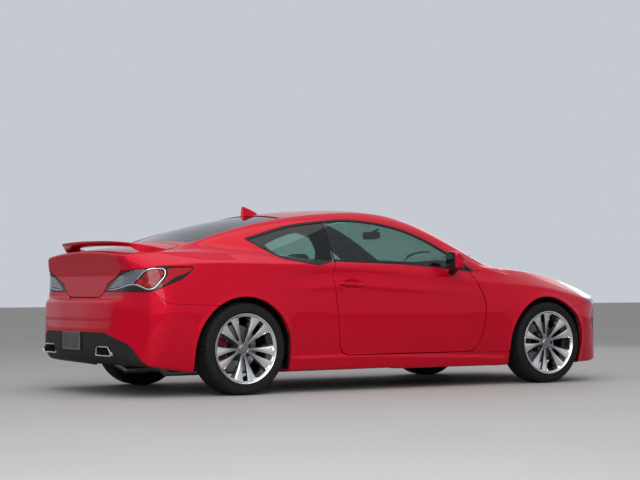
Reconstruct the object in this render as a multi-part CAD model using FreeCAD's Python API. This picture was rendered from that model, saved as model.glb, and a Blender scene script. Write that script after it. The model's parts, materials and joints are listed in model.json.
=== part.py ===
import FreeCAD
import Part
import math
import os

# A two-door coupe car. X points forward, Y to the car's left, Z up.
# The origin is on the ground under the middle of the car's overall box. Lengths are in mm.

V = FreeCAD.Vector

# Overall sizes
body_length = 4630.0
front_overhang = 850.0
wheelbase = 2820.0
front_axle_x = body_length / 2 - front_overhang
rear_axle_x = front_axle_x - wheelbase

# Wheels and tyres
front_tyre_radius = 326.0
rear_tyre_radius = 333.0
front_tyre_width = 232.0
rear_tyre_width = 246.0
front_wheel_y = 795.0
rear_wheel_y = 799.0
rim_radius = 241.0
rim_wall = 9.0
rim_flange_radius = 253.0
rim_flange_width = 8.0
bead_inset = 13.0
hub_offset = 45.0
hub_thickness = 36.0
hub_radius = 74.0
lug_circle = 57.15
lug_count = 5
lug_radius = 11.0
spoke_pairs = 5
spoke_width = 20.0
spoke_depth = 30.0
spoke_setback = 6.0
spoke_root_offset = 14.0
spoke_tip_offset = 44.0
disc_radius = 170.0
disc_thickness = 26.0
disc_offset = -50.0
disc_hat_radius = 80.0
disc_hat_wall = 8.0
spindle_radius = 26.0
knuckle_y = 655.0
knuckle_thickness = 50.0
steering_axis_y = 672.0
kingpin_radius = 8.0
caliper_gap = 6.0
caliper_wall = 18.0
caliper_rear = 196.0
caliper_front = 92.0
caliper_half_height = 80.0
caliper_reach = 210.0
knuckle_rise = 140.0
knuckle_drop = 126.0
knuckle_half_length = 36.0
kingpin_depth = 30.0

# Gaps and clearances
door_gap = 6.0
door_front_extra = 4.0
door_taper = 14.0
lid_gap = 8.0
lid_front_extra = 10.0
hood_gap = 9.0
hood_end_extra = 3.0
glass_gap = 8.0
pin_clearance = 0.05

# Walls
door_wall = 82.0
door_outer_y = 1000.0
door_depth_spare = 60.0
panel_wall = 34.0
glass_inset = 6.0
glass_wall = 5.0

# Wheel arches
front_arch_radius = 380.0
rear_arch_radius = 390.0
front_arch_shift = -15.0
rear_arch_shift = -12.0
arch_height = 316.0
front_well_y = 485.0
rear_well_y = 560.0
well_extra = 46.0
well_outer_y = 862.0
liner_wall = 4.0

# Places that pieces share
sill_bottom_z = 160.0
floor_bottom_z = 172.0
floor_top_z = 206.0
sill_top_z = 262.0
sill_inner_y = 742.0
fender_rear_x = 856.0
roof_half_width = 575.0
cowl_half_width = 700.0
post_inner_y = 640.0
post_top_z = 930.0
b_post_rear_x = -660.0
b_post_front_x = -585.0
low_post_inner_y = 700.0
low_post_top_z = 940.0
glass_split = -553.0
glass_sink = 26.0
glass_band_front_x = 680.0
cowl_shelf_z = 800.0
cowl_shelf_thickness = 20.0
cowl_web_top_z = 945.0
cowl_sink = 40.0
cowl_rim = 6.0
cowl_rear_x = 1052.0
rear_shelf_x = -1705.0
shelf_front_x = -1160.0
firewall_x = 1000.0
heel_x = -980.0
boot_rear_x = -2150.0
lid_thin_half_width = 800.0
tunnel_half = 150.0
tunnel_top = 400.0
fin_top_z = 1402.0
boot_floor_z = 403.0
floor_thickness = 20.0
jack_pad_x = 760.0
jack_pad_y = 700.0
jack_pad_length = 80.0
jack_pad_width = 50.0
jack_pad_height = 10.0
strip_half_width = 560.0

# Where the zones that split the shell begin and end
roof_rear_x = -850.0
roof_front_x = 205.0
roof_low_z = 1100.0
cowl_zone_rear_x = 900.0
cowl_zone_front_x = 1180.0
cowl_low_z = 850.0
strip_rear_x = -1780.0
strip_front_x = -1560.0
strip_low_z = 900.0
diffuser_front_x = -1900.0
grille_rear_x = 2100.0
under_rear_x = -2190.0
under_front_x = -900.0
under_half_width = 700.0
hood_nose_x = 2100.0
hood_heel_x = 1200.0
lid_heel_x = -1800.0
least_panel_volume = 1e5

# Limits that the cutting bodies reach, beyond the skin or inside it
beyond_x = 2500.0
beyond_y = 1300.0
beyond_z = 1500.0
cabin_low_y = 400.0
windshield_low_z = 850.0
rear_window_low_z = 950.0
hood_low_z = 620.0
lid_low_z = 650.0
lid_zone_x = -1500.0

# Rear plate and exhaust ends
plate_face_x = -2300.0
plate_low_z = 325.0
plate_screw_spacing = 190.0
plate_screw_radius = 3.5
tip_y = 470.0
tip_rear_x = -2268.0

# Door hinges
door_hinge_x = 730.0
door_hinge_y = 872.0
door_hinge_heights = (420.0, 700.0)
hinge_pin_radius = 7.0
hinge_pocket_height = 76.0
hinge_pocket_y = 890.0
hinge_pocket_rear = 45.0
hinge_pocket_front = 170.0
hinge_leaf_thickness = 16.0
hinge_eye_radius = 12.0
hinge_eye_height = 60.0
post_outer_y = 716.0

# Hood hinges
hood_hinge_x = 1095.0
hood_hinge_z = 903.0
hood_hinge_y = 600.0
hood_pin_radius = 5.0
hood_eye_radius = 9.0
hood_arm_width = 16.0
hood_pocket_width = 28.0
hood_pocket_rear = 60.0
hood_pocket_front = 26.0
hood_pocket_depth = 60.0
hood_pocket_play = 2.0
cowl_web_half_width = 240.0

# Trunk lid hinges, each a curved neck about a pin under the shelf
trunk_hinge_x = -1500.0
trunk_hinge_z = 985.0
lid_front_wall = 10.0
lid_thin_x = -1770.0
neck_block_x = -1728.0
neck_y = 500.0
neck_width = 16.0
neck_thickness = 18.0
neck_hub_radius = 14.4
neck_radius = 257.0
neck_top_angle = 162.0
neck_low_angle = 226.0
neck_pin_radius = 6.0
shelf_half_width = 470.0
shelf_z = 1010.0
shelf_thickness = 18.0
shelf_web = 12.0
hinge_plate = 14.0

# Sections of the lower body from the tail to the nose
# x, sill_y, side_y, side_z, crease_y, crease_z, crest_y, crest_z, top_z
lower_sections = [
    (-2340.0, 770.0, 830.0, 560.0, 770.0, 850.0, 640.0, 985.0, 1024.0),
    (-1900.0, 830.0, 905.0, 600.0, 860.0, 930.0, 720.0, 1025.0, 1080.0),
    (-1355.0, 850.0, 932.0, 610.0, 890.0, 945.0, 800.0, 1015.0, 1110.0),
    (-600.0, 850.0, 910.0, 590.0, 887.0, 925.0, 845.0, 968.0, 1010.0),
    (100.0, 845.0, 905.0, 580.0, 884.0, 878.0, 838.0, 946.0, 995.0),
    (800.0, 845.0, 908.0, 580.0, 876.0, 812.0, 780.0, 925.0, 998.0),
    (1465.0, 845.0, 915.0, 590.0, 858.0, 765.0, 680.0, 890.0, 932.0),
    (1950.0, 800.0, 880.0, 520.0, 815.0, 670.0, 620.0, 785.0, 828.0),
    (2340.0, 740.0, 800.0, 470.0, 735.0, 580.0, 560.0, 655.0, 690.0),
]

# Sections of the cabin above the belt, from the tail to the hood
# x, base_y, base_z, rail_y, rail_z, edge_y, edge_z, top_z
cabin_sections = [
    (-1790.0, 690.0, 930.0, 645.0, 1005.0, 590.0, 1040.0, 1076.0),
    (-1450.0, 790.0, 930.0, 684.0, 1090.0, 600.0, 1152.0, 1196.0),
    (-1000.0, 838.0, 920.0, 678.0, 1196.0, 586.0, 1264.0, 1306.0),
    (-450.0, 850.0, 915.0, 666.0, 1262.0, 570.0, 1334.0, 1373.0),
    (-50.0, 850.0, 915.0, 666.0, 1266.0, 566.0, 1341.0, 1385.0),
    (300.0, 846.0, 900.0, 684.0, 1200.0, 590.0, 1274.0, 1345.0),
    (620.0, 832.0, 880.0, 720.0, 1076.0, 642.0, 1136.0, 1212.0),
    (900.0, 800.0, 860.0, 748.0, 945.0, 690.0, 985.0, 1058.0),
    (1130.0, 765.0, 840.0, 738.0, 865.0, 700.0, 885.0, 925.0),
]

# Side profile of nose and tail, as x, z and corner radius
side_profile = [
    (2230.0, 150.0, 60.0),
    (2315.0, 250.0, 120.0),
    (2315.0, 560.0, 160.0),
    (2160.0, 790.0, 200.0),
    (1500.0, 1500.0, 0.0),
    (-2150.0, 1500.0, 0.0),
    (-2232.0, 1040.0, 14.0),
    (-2188.0, 860.0, 60.0),
    (-2196.0, 700.0, 20.0),
    (-2290.0, 676.0, 24.0),
    (-2315.0, 480.0, 120.0),
    (-2300.0, 300.0, 80.0),
    (-2180.0, 225.0, 60.0),
    (-1700.0, 150.0, 0.0),
]

# Half plan outline of nose and tail, as x, y and corner radius
half_plan = [
    (-2315.0, 200.0, 900.0),
    (-2255.0, 610.0, 300.0),
    (-2085.0, 830.0, 210.0),
    (-1900.0, 960.0, 0.0),
    (1820.0, 960.0, 0.0),
    (2215.0, 640.0, 600.0),
    (2315.0, 200.0, 1500.0),
]

# Door outline seen from the side
door_outline = [
    (-553.0, 967.0, 4.0),
    (-592.0, 860.0, 160.0),
    (-528.0, 270.0, 90.0),
    (765.0, 270.0, 130.0),
    (846.0, 640.0, 380.0),
    (712.0, 905.0, 4.0),
    (60.0, 948.0, 2500.0),
]

# Side window opening seen from the side
side_window = [
    (-1252.0, 1128.0, 8.0),
    (-860.0, 1238.0, 1500.0),
    (-300.0, 1302.0, 1600.0),
    (270.0, 1216.0, 1400.0),
    (790.0, 888.0, 8.0),
    (60.0, 951.0, 2500.0),
    (-560.0, 969.0, 60.0),
    (-720.0, 936.0, 160.0),
    (-1010.0, 984.0, 260.0),
]

# Plan outlines, half, as x, y and corner radius
hood_half = [
    (1130.0, 330.0, 700.0),
    (1055.0, 700.0, 30.0),
    (1480.0, 655.0, 2500.0),
    (1900.0, 600.0, 600.0),
    (2140.0, 430.0, 200.0),
]
windshield_half = [
    (190.0, 545.0, 40.0),
    (890.0, 690.0, 50.0),
    (1050.0, 300.0, 500.0),
]
rear_window_half = [
    (-850.0, 556.0, 40.0),
    (-1618.0, 580.0, 60.0),
    (-1690.0, 250.0, 400.0),
]
trunk_half = [
    (-1728.0, 300.0, 400.0),
    (-1715.0, 565.0, 30.0),
    (-1860.0, 655.0, 160.0),
    (-2060.0, 655.0, 200.0),
    (-2400.0, 560.0, 0.0),
]

# Rear view outline of the lid's upright part, half, as y, z and corner radius
trunk_rear_half = [
    (300.0, 706.0, 90.0),
    (352.0, 770.0, 90.0),
    (520.0, 850.0, 260.0),
    (640.0, 905.0, 60.0),
    (640.0, 1200.0, 0.0),
]

# Rear spoiler, sections out from the middle: y, front x, front z, rear x, rear z
spoiler_sections = [
    (0.0, -2075.0, 1086.0, -2218.0, 1112.0),
    (300.0, -2062.0, 1083.0, -2205.0, 1108.0),
    (520.0, -2005.0, 1073.0, -2140.0, 1096.0),
    (590.0, -1945.0, 1064.0, -2068.0, 1082.0),
    (622.0, -1840.0, 1052.0, -1975.0, 1066.0),
]
spoiler_thickness = 20.0
spoiler_edge = 12.0

# Door handle seen from the side, as x, z and corner radius
handle_outline = [
    (-545.0, 786.0, 9.0),
    (-330.0, 774.0, 9.0),
    (-326.0, 796.0, 9.0),
    (-541.0, 812.0, 9.0),
]
handle_inner_y = 880.0
handle_outer_y = 921.0
handle_thickness = 12.0
handle_end = 34.0

# Door mirror housing seen from the side, as x, z and corner radius
mirror_outline = [
    (452.0, 906.0, 18.0),
    (548.0, 912.0, 30.0),
    (574.0, 968.0, 30.0),
    (500.0, 1048.0, 34.0),
    (446.0, 1052.0, 14.0),
]
mirror_inner_y = 868.0
mirror_outer_y = 1012.0
mirror_foot = (486.0, 560.0, 836.0, 880.0, 850.0, 930.0)

# Half outline of the air intake seen from the front, as y, z and corner radius
grille_half = [
    (330.0, 560.0, 30.0),
    (420.0, 470.0, 40.0),
    (300.0, 300.0, 40.0),
]

# Lamps, seen from the side as x, z and corner radius
headlamp_side = [
    (1745.0, 838.0, 10.0),
    (1930.0, 690.0, 120.0),
    (2060.0, 618.0, 60.0),
    (2340.0, 600.0, 0.0),
    (2340.0, 712.0, 0.0),
    (2120.0, 770.0, 160.0),
    (1960.0, 830.0, 100.0),
]
tail_lamp_side = [
    (-1738.0, 915.0, 14.0),
    (-1850.0, 830.0, 200.0),
    (-2085.0, 738.0, 60.0),
    (-2400.0, 750.0, 0.0),
    (-2400.0, 850.0, 0.0),
    (-2160.0, 895.0, 160.0),
    (-1980.0, 925.0, 200.0),
]
headlamp_inner_y = 400.0
tail_lamp_inner_y = 330.0

# Seams between bumpers and the panels above them, from the side
front_seam = [
    (1690.0, 60.0, 0.0),
    (1690.0, 600.0, 20.0),
    (2000.0, 655.0, 0.0),
    (2140.0, 760.0, 0.0),
    (2500.0, 900.0, 0.0),
    (2500.0, 60.0, 0.0),
]
rear_seam = [
    (-1560.0, 60.0, 0.0),
    (-1560.0, 640.0, 10.0),
    (-1960.0, 655.0, 90.0),
    (-2090.0, 752.0, 60.0),
    (-2500.0, 752.0, 0.0),
    (-2500.0, 60.0, 0.0),
]
diffuser_rear_half = [
    (500.0, 452.0, 140.0),
    (700.0, 380.0, 160.0),
    (800.0, 230.0, 40.0),
    (800.0, 60.0, 0.0),
]

# Front seats, seen from the side as x, z and corner radius
seat_cushion = [
    (-420.0, 240.0, 40.0),
    (130.0, 260.0, 60.0),
    (130.0, 430.0, 60.0),
    (-330.0, 400.0, 60.0),
]
seat_back = [
    (-330.0, 390.0, 30.0),
    (-520.0, 880.0, 40.0),
    (-630.0, 900.0, 40.0),
    (-450.0, 250.0, 40.0),
]
head_rest = [
    (-510.0, 800.0, 20.0),
    (-570.0, 1060.0, 40.0),
    (-672.0, 1060.0, 40.0),
    (-600.0, 800.0, 20.0),
]
seat_inner_y = 170.0
seat_width = 470.0
seat_back_inset = 10.0
head_rest_inset = 110.0
seat_foot_inset = 60.0
seat_foot_rear_x = -300.0
seat_foot_front_x = 60.0
seat_foot_top_z = 270.0

# Rear bench
bench_front_x = -700.0
bench_half_width = 540.0
bench_top_z = 460.0
bench_tunnel_gap = 10.0
bench_back = [
    (heel_x, bench_top_z - 20, 0.0),
    (heel_x + 120, bench_top_z - 20, 20.0),
    (heel_x - 60, 960.0, 40.0),
    (heel_x - 160, 960.0, 20.0),
    (heel_x - floor_thickness, boot_floor_z + floor_thickness, 0.0),
    (heel_x, boot_floor_z + floor_thickness, 0.0),
]

# Dashboard seen from the side as x, z and corner radius, and the console between the seats
dash_outline = [
    (560.0, 640.0, 40.0),
    (560.0, 800.0, 60.0),
    (760.0, 862.0, 80.0),
    (930.0, 862.0, 20.0),
    (930.0, 560.0, 40.0),
]
dash_end_gap = 10.0
console_half_width = 100.0
console_rear_x = -300.0
console_front_x = 700.0
console_top_z = 520.0
console_riser_x = 600.0
console_riser_top_z = 680.0
dash_foot_half_width = 600.0
dash_foot_depth = 80.0
dash_foot_low_z = 560.0
dash_foot_top_z = 700.0

# Steering wheel
steering_x = 330.0
steering_y = 390.0
steering_z = 790.0
steering_radius = 178.0
steering_rim = 14.0
steering_slope = (-0.9, 0.43)
steering_hub_radius = 50.0
steering_hub_depth = 40.0
steering_bar_radius = 10.0
column_radius = 22.0
column_length = 260.0

# Suspension
arm_thickness = 20.0
arm_inner_y = 430.0
arm_half_root = 130.0
arm_half_tip = 26.0
arm_tip_y = 690.0
kingpin_length = 24.0
crossmember_half_width = 432.0
rail_inner_y = 380.0
rail_width = 60.0
rail_height = 80.0
rail_front_x = 2120.0
strut_y = 622.0
strut_radius = 26.0
spring_y = 590.0
spring_radius = 58.0
spring_length = 190.0
strut_bracket_half = 18.0
strut_bracket_height = 17.0
strut_bracket_end = 14.0
strut_bracket_inner_y = 600.0
spring_seat_half = 70.0
spring_inner_y = 500.0
spring_outer_y = 632.0
crossmember_drop = 10.0
crossmember_rise = 50.0
rear_strut_radius = 34.0
rear_strut_top_z = 746.0
rear_strut_top_y = 600.0
rear_strut_low_y = 610.0
rear_strut_low = 60.0
rear_bracket_half = 20.0
rear_bracket_inner_y = 590.0
rear_bracket_low = 30.0
rear_bracket_top = 70.0
rear_arm_low = 110.0
rear_arm_top = 84.0
rear_frame_low = 120.0
rear_frame_top = 60.0
half_shaft_inner_y = 100.0
axle_drive_rear = 110.0
axle_drive_front = 130.0
axle_drive_low = 70.0
axle_drive_top = 60.0
prop_shaft_start = 120.0
prop_shaft_drop = 30.0
rear_arm_inner_y = 380.0
rear_arm_half_root = 140.0
rear_arm_half_tip = 40.0
half_shaft_radius = 18.0
rear_frame_half_length = 150.0
rear_frame_half_width = 400.0
axle_drive_half_width = 110.0
prop_shaft_radius = 34.0
prop_shaft_front_x = 300.0

# Floor
rear_floor_half_width = 550.0
boot_wall_top_z = 640.0
tunnel_wall = 6.0
firewall_half_width = 620.0

# Engine with its two bearers
engine_rear_x = 1130.0
engine_front_x = 1700.0
engine_half_width = 260.0
engine_low_z = 290.0
engine_top_z = 760.0
bearer_rear_x = 1290.0
bearer_front_x = 1390.0
bearer_half_width = 436.0
bearer_top_z = 400.0

# Exhaust: end outline seen from behind as distance outwards from its middle, z and corner radius
tip_outline = [
    (-120.0, 290.0, 8.0),
    (-110.0, 354.0, 8.0),
    (70.0, 354.0, 8.0),
    (118.0, 318.0, 8.0),
    (112.0, 290.0, 8.0),
]
tip_front_x = -2120.0
tip_wall = 5.0
tip_hole_gap = 3.0
tip_hole_front_x = -2100.0
muffler_rear_x = -2130.0
muffler_front_x = -1900.0
muffler_half_width = 105.0
muffler_height = 150.0
pipe_radius = 24.0
pipe_points = [(-1910.0, 430.0, 300.0), (-1700.0, 330.0, 146.0), (300.0, 170.0, 146.0)]

# Number plate, blank
plate_half_width = 152.0
plate_height = 130.0
plate_thickness = 4.0
plate_border = 10.0

# Bars of the air intake
grille_bar_heights = (330.0, 380.0, 430.0, 480.0, 530.0)
grille_bar_height = 14.0
grille_bar_depth = 20.0
grille_bar_rear_x = 2262.0
grille_backing = 12.0
grille_half_width = 400.0

# Antenna fin seen from the side as x, z and corner radius
fin_outline = [
    (-700.0, 1340.0, 0.0),
    (-730.0, 1366.0, 40.0),
    (-862.0, fin_top_z, 6.0),
    (-872.0, 1300.0, 0.0),
]
fin_half_width = 18.0


def rounded_wire(points, place):
    """A closed wire through the points, each with its own corner radius."""
    corners = []
    count = len(points)
    for i, (u, v, radius) in enumerate(points):
        here = V(u, v, 0)
        back = (V(points[i - 1][0], points[i - 1][1], 0) - here).normalize()
        ahead_point = points[(i + 1) % count]
        ahead = (V(ahead_point[0], ahead_point[1], 0) - here).normalize()
        if radius <= 0:
            corners.append((here, None, here))
            continue
        half = back.getAngle(ahead) / 2
        reach = radius / math.tan(half)
        middle = (back + ahead).normalize() * (radius / math.sin(half) - radius)
        corners.append((here + back * reach, here + middle, here + ahead * reach))
    edges = []
    for i, (start, middle, end) in enumerate(corners):
        if middle is not None:
            edges.append(Part.Arc(place(start), place(middle), place(end)).toShape())
        following = corners[(i + 1) % count][0]
        if end.distanceToPoint(following) > 1e-4:
            edges.append(Part.LineSegment(place(end), place(following)).toShape())
    return Part.Wire(edges)


def placer(axis, level):
    """How a point of an outline stands in space when the outline faces along an axis."""
    if axis == "x":
        return lambda p: V(level, p.x, p.y)
    if axis == "y":
        return lambda p: V(p.x, level, p.y)
    return lambda p: V(p.x, p.y, level)


def prism(points, axis, low, high):
    """The outline pushed along an axis from low to high."""
    face = Part.Face(rounded_wire(points, placer(axis, low)))
    step = high - low
    ways = {"x": V(step, 0, 0), "y": V(0, step, 0), "z": V(0, 0, step)}
    return face.extrude(ways[axis])


def grown(points, distance):
    """The outline with each side moved outwards."""
    area = 0.0
    count = len(points)
    for i in range(count):
        u0, v0 = points[i - 1][:2]
        u1, v1 = points[i][:2]
        area += u0 * v1 - u1 * v0
    sign = 1.0 if area > 0 else -1.0
    sides = []
    for i in range(count):
        u0, v0 = points[i][:2]
        u1, v1 = points[(i + 1) % count][:2]
        length = math.hypot(u1 - u0, v1 - v0)
        along = ((u1 - u0) / length, (v1 - v0) / length)
        out = (along[1] * sign * distance, -along[0] * sign * distance)
        sides.append((u0 + out[0], v0 + out[1], along))
    moved = []
    for i in range(count):
        u0, v0, a = sides[i - 1]
        u1, v1, b = sides[i]
        cross = a[0] * b[1] - a[1] * b[0]
        share = ((u1 - u0) * b[1] - (v1 - v0) * b[0]) / cross
        radius = points[i][2]
        if radius > 0:
            radius = max(1.0, radius + distance * (1 if cross * sign > 0 else -1))
        moved.append((u0 + a[0] * share, v0 + a[1] * share, radius))
    return moved


def tapered_prism(points, low, high, shrink):
    """A prism along Y, full size at high and smaller by shrink at low."""
    outer = rounded_wire(points, placer("y", high))
    inner = rounded_wire(grown(points, -shrink), placer("y", low))
    return Part.makeLoft([inner, outer], True, True)


def whole(half):
    """A half outline in plan, as x, y, joined to its mirror image."""
    return half + [(x, -y, r) for x, y, r in reversed(half)]


def whole_rear(half):
    """A half outline seen from behind, as y, z, joined to its mirror image."""
    return half + [(-y, z, r) for y, z, r in reversed(half)]


def box(x0, x1, y0, y1, z0, z1):
    return Part.makeBox(x1 - x0, y1 - y0, z1 - z0, V(x0, y0, z0))


def bar_between(start, end, radius):
    """A round bar from start to end."""
    way = V(*end) - V(*start)
    return Part.makeCylinder(radius, way.Length, V(*start), way)


def arc_band(centre, inner, outer, start_angle, end_angle, width):
    """A curved strip about an axis along Y, its angles measured from X towards Z."""
    def point(radius, angle):
        turn = math.radians(angle)
        return V(centre.x + radius * math.cos(turn), centre.y, centre.z + radius * math.sin(turn))
    middle = (start_angle + end_angle) / 2
    edges = [
        Part.Arc(point(inner, start_angle), point(inner, middle), point(inner, end_angle)).toShape(),
        Part.LineSegment(point(inner, end_angle), point(outer, end_angle)).toShape(),
        Part.Arc(point(outer, end_angle), point(outer, middle), point(outer, start_angle)).toShape(),
        Part.LineSegment(point(outer, start_angle), point(inner, start_angle)).toShape(),
    ]
    return Part.Face(Part.Wire(edges)).extrude(V(0, width, 0))


def fused(shapes):
    first = shapes[0]
    if len(shapes) == 1:
        return first
    return first.fuse(list(shapes[1:])).removeSplitter()


def largest(shape):
    """The biggest solid of a shape, without slivers."""
    return max(shape.Solids, key=lambda s: s.Volume)


def mirrored(shape):
    return shape.mirror(V(0, 0, 0), V(0, 1, 0))


def pair(shape):
    """The left piece and its right mirror image."""
    return Part.makeCompound([shape, mirrored(shape)])


def arc_through(start, bulge, end):
    """An arc in a section plane whose middle stands out from the chord by bulge."""
    chord = end - start
    out = V(0, chord.z, -chord.y).normalize()
    return Part.Arc(start, (start + end) * 0.5 + out * bulge, end).toShape()


def section_wire(half, bulges, top):
    """A closed section from the right bottom corner up the left side and over."""
    left = [V(p[0], p[1], p[2]) for p in half]
    right = [V(p.x, -p.y, p.z) for p in left]
    edges = [Part.LineSegment(right[0], left[0]).toShape()]
    for i, bulge in enumerate(bulges):
        edges.append(arc_through(left[i], bulge, left[i + 1]))
    edges.append(Part.Arc(left[-1], top, right[-1]).toShape())
    for i in reversed(range(len(bulges))):
        low = right[i]
        high = right[i + 1]
        chord = high - low
        out = V(0, -chord.z, chord.y).normalize()
        middle = (low + high) * 0.5 + out * bulges[i]
        edges.append(Part.Arc(high, middle, low).toShape())
    return Part.Wire(edges)


def lower_body(inset):
    """The body below the belt as one closed solid, its skin moved in by inset."""
    wires = []
    for x, sill_y, side_y, side_z, crease_y, crease_z, crest_y, crest_z, top_z in lower_sections:
        half = [
            (x, sill_y - inset, sill_bottom_z + inset),
            (x, side_y - inset, side_z),
            (x, crease_y - inset, crease_z - 0.3 * inset),
            (x, crest_y - inset, crest_z - inset),
        ]
        wires.append(section_wire(half, (16.0, 4.0, 3.0), V(x, 0, top_z - inset)))
    loft = Part.makeLoft(wires, True, False)
    reach = 1200.0
    side = prism(grown(side_profile, -inset), "y", -reach, reach)
    plan = prism(grown(whole(half_plan), -inset), "z", -reach, 2 * reach)
    return loft.common(side).common(plan)


def cabin_body(inset):
    """The cabin above the belt as one closed solid, its skin moved in by inset."""
    wires = []
    for x, base_y, base_z, rail_y, rail_z, edge_y, edge_z, top_z in cabin_sections:
        half = [
            (x, base_y - inset, base_z),
            (x, rail_y - inset, rail_z - 0.4 * inset),
            (x, edge_y - 0.6 * inset, edge_z - inset),
        ]
        wires.append(section_wire(half, (14.0, 7.0), V(x, 0, top_z - inset)))
    return Part.makeLoft(wires, True, False)


def well(axle_x, shift, radius, inner_y, outer_y):
    """The space of a wheel well: a round top on straight sides down to the ground."""
    middle = axle_x + shift
    top = Part.makeCylinder(radius, outer_y - inner_y, V(middle, inner_y, arch_height), V(0, 1, 0))
    return fused([top, box(middle - radius, middle + radius, inner_y, outer_y, 0.0, arch_height)])


def arch_cut(axle_x, shift, radius, inner_y):
    """What a wheel arch takes out of one side, wider behind its lip."""
    wide = well(axle_x, shift, radius + well_extra, inner_y, well_outer_y)
    return fused([wide, well(axle_x, shift, radius, inner_y, 1300.0)])


def without(shape, tools):
    """The shape less each of the tools in turn."""
    for tool in tools:
        shape = shape.cut(tool)
    return shape


def outline_shifted(points, is_front, front_step, is_rear, rear_step):
    """The outline with its points ahead of is_front and behind is_rear moved along X."""
    moved = []
    for x, y, radius in points:
        step = front_step if x > is_front else (rear_step if x < is_rear else 0.0)
        moved.append((x + step, y, radius))
    return moved


# Bodies that the panels are cut from
body_skin = lower_body(0.0)
cabin_skin = cabin_body(0.0)
outer = body_skin.fuse(cabin_skin)
shell = outer.cut(lower_body(panel_wall).fuse(cabin_body(panel_wall)))
glass_outer = cabin_body(glass_inset)
glass_shell = glass_outer.cut(cabin_body(glass_inset + glass_wall))
post_shell = cabin_body(glass_inset + glass_wall + glass_gap).cut(
    cabin_body(glass_inset + glass_wall + glass_gap + panel_wall)
)

# Openings that the panels leave for each other
door_aperture = prism(
    outline_shifted(grown(door_outline, door_gap), door_hinge_x - 100, door_front_extra, -beyond_x, 0.0),
    "y", sill_inner_y - door_depth_spare, beyond_y,
)
window_hole = prism(side_window, "y", cabin_low_y, beyond_y)
windshield_hole = prism(whole(windshield_half), "z", windshield_low_z, beyond_z)
rear_window_hole = prism(whole(rear_window_half), "z", rear_window_low_z, beyond_z)
hood_hole = prism(
    outline_shifted(
        grown(whole(hood_half), hood_gap), hood_nose_x, hood_end_extra, hood_heel_x, -hood_end_extra
    ),
    "z", hood_low_z, beyond_z,
)
lid_hole = prism(
    outline_shifted(grown(whole(trunk_half), lid_gap), lid_heel_x, lid_front_extra, -beyond_x, 0.0),
    "z", lid_low_z, beyond_z,
).common(prism(grown(whole_rear(trunk_rear_half), lid_gap), "x", -beyond_x, lid_zone_x))
front_arch = arch_cut(front_axle_x, front_arch_shift, front_arch_radius, front_well_y)
rear_arch = arch_cut(rear_axle_x, rear_arch_shift, rear_arch_radius, rear_well_y)
front_zone = prism(front_seam, "y", -beyond_y, beyond_y)
rear_zone = prism(rear_seam, "y", -beyond_y, beyond_y)
headlamp_zone = prism(headlamp_side, "y", headlamp_inner_y, beyond_y)
tail_lamp_zone = prism(tail_lamp_side, "y", tail_lamp_inner_y, beyond_y)
diffuser_zone = prism(whole_rear(diffuser_rear_half), "x", -beyond_x, diffuser_front_x)
under_space = box(
    under_rear_x, under_front_x, -under_half_width, under_half_width, 0.0, boot_floor_z
)
grille_zone = prism(whole_rear(grille_half), "x", grille_rear_x, beyond_x)
roof_zone = box(
    roof_rear_x, roof_front_x, -roof_half_width, roof_half_width, roof_low_z, beyond_z
)
cowl_zone = box(
    cowl_zone_rear_x, cowl_zone_front_x, -cowl_half_width, cowl_half_width, cowl_low_z, beyond_z
)
strip_zone = box(
    strip_rear_x, strip_front_x, -strip_half_width, strip_half_width, strip_low_z, beyond_z
)

nodes = {}


def keep(name, shape):
    nodes[name] = shape


# Fixed panels
rocker = without(
    body_skin.common(box(rear_axle_x, front_axle_x, sill_inner_y, beyond_y, 0.0, sill_top_z)),
    [front_arch, rear_arch],
)
side_upper = without(
    shell.common(box(-beyond_x, fender_rear_x, 0.0, beyond_y, sill_top_z, beyond_z)),
    [door_aperture, window_hole, windshield_hole, rear_window_hole, hood_hole, lid_hole,
     rear_arch, rear_zone, tail_lamp_zone, roof_zone, strip_zone],
)
side_parts = [s for s in side_upper.Solids if s.Volume > least_panel_volume]
b_post = post_shell.common(box(b_post_rear_x, b_post_front_x, cabin_low_y, beyond_y, 880.0, beyond_z))
low_post = without(
    body_skin.common(
        box(b_post_rear_x, b_post_front_x, low_post_inner_y, beyond_y, sill_top_z, low_post_top_z)
    ),
    [door_aperture, lower_body(door_wall)],
)
a_post = box(
    door_hinge_x - 10, fender_rear_x, post_inner_y, post_outer_y, floor_top_z, post_top_z
)
a_foot = box(
    door_hinge_x - 10, fender_rear_x, post_inner_y, sill_inner_y + 20, floor_top_z, sill_top_z - 20
)
leaves = []
for height in door_hinge_heights:
    low = height - hinge_eye_height / 2
    leaf = box(
        door_hinge_x - hinge_leaf_thickness / 2, door_hinge_x + hinge_leaf_thickness / 2,
        post_outer_y - 10, door_hinge_y, low, low + hinge_eye_height,
    )
    eye = Part.makeCylinder(hinge_eye_radius, hinge_eye_height, V(door_hinge_x, door_hinge_y, low))
    bore = Part.makeCylinder(
        hinge_pin_radius + pin_clearance, hinge_eye_height, V(door_hinge_x, door_hinge_y, low)
    )
    leaves.append(leaf.fuse(eye).cut(bore))
body_side = side_parts[0].fuse(side_parts[1:] + [rocker, b_post, low_post, a_post, a_foot] + leaves)
keep("body_side_left", body_side)
keep("body_side_right", mirrored(body_side))

keep("roof_panel", without(shell.common(roof_zone), [windshield_hole, rear_window_hole]))
keep("windshield", largest(glass_shell.common(windshield_hole)))
keep("rear_window", largest(glass_shell.common(rear_window_hole)))
quarter_edge = box(-2000.0, glass_split - glass_gap / 2, cabin_low_y, beyond_y, 800.0, beyond_z)
keep("quarter_glasses", pair(glass_shell.common(window_hole).common(quarter_edge)))

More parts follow.
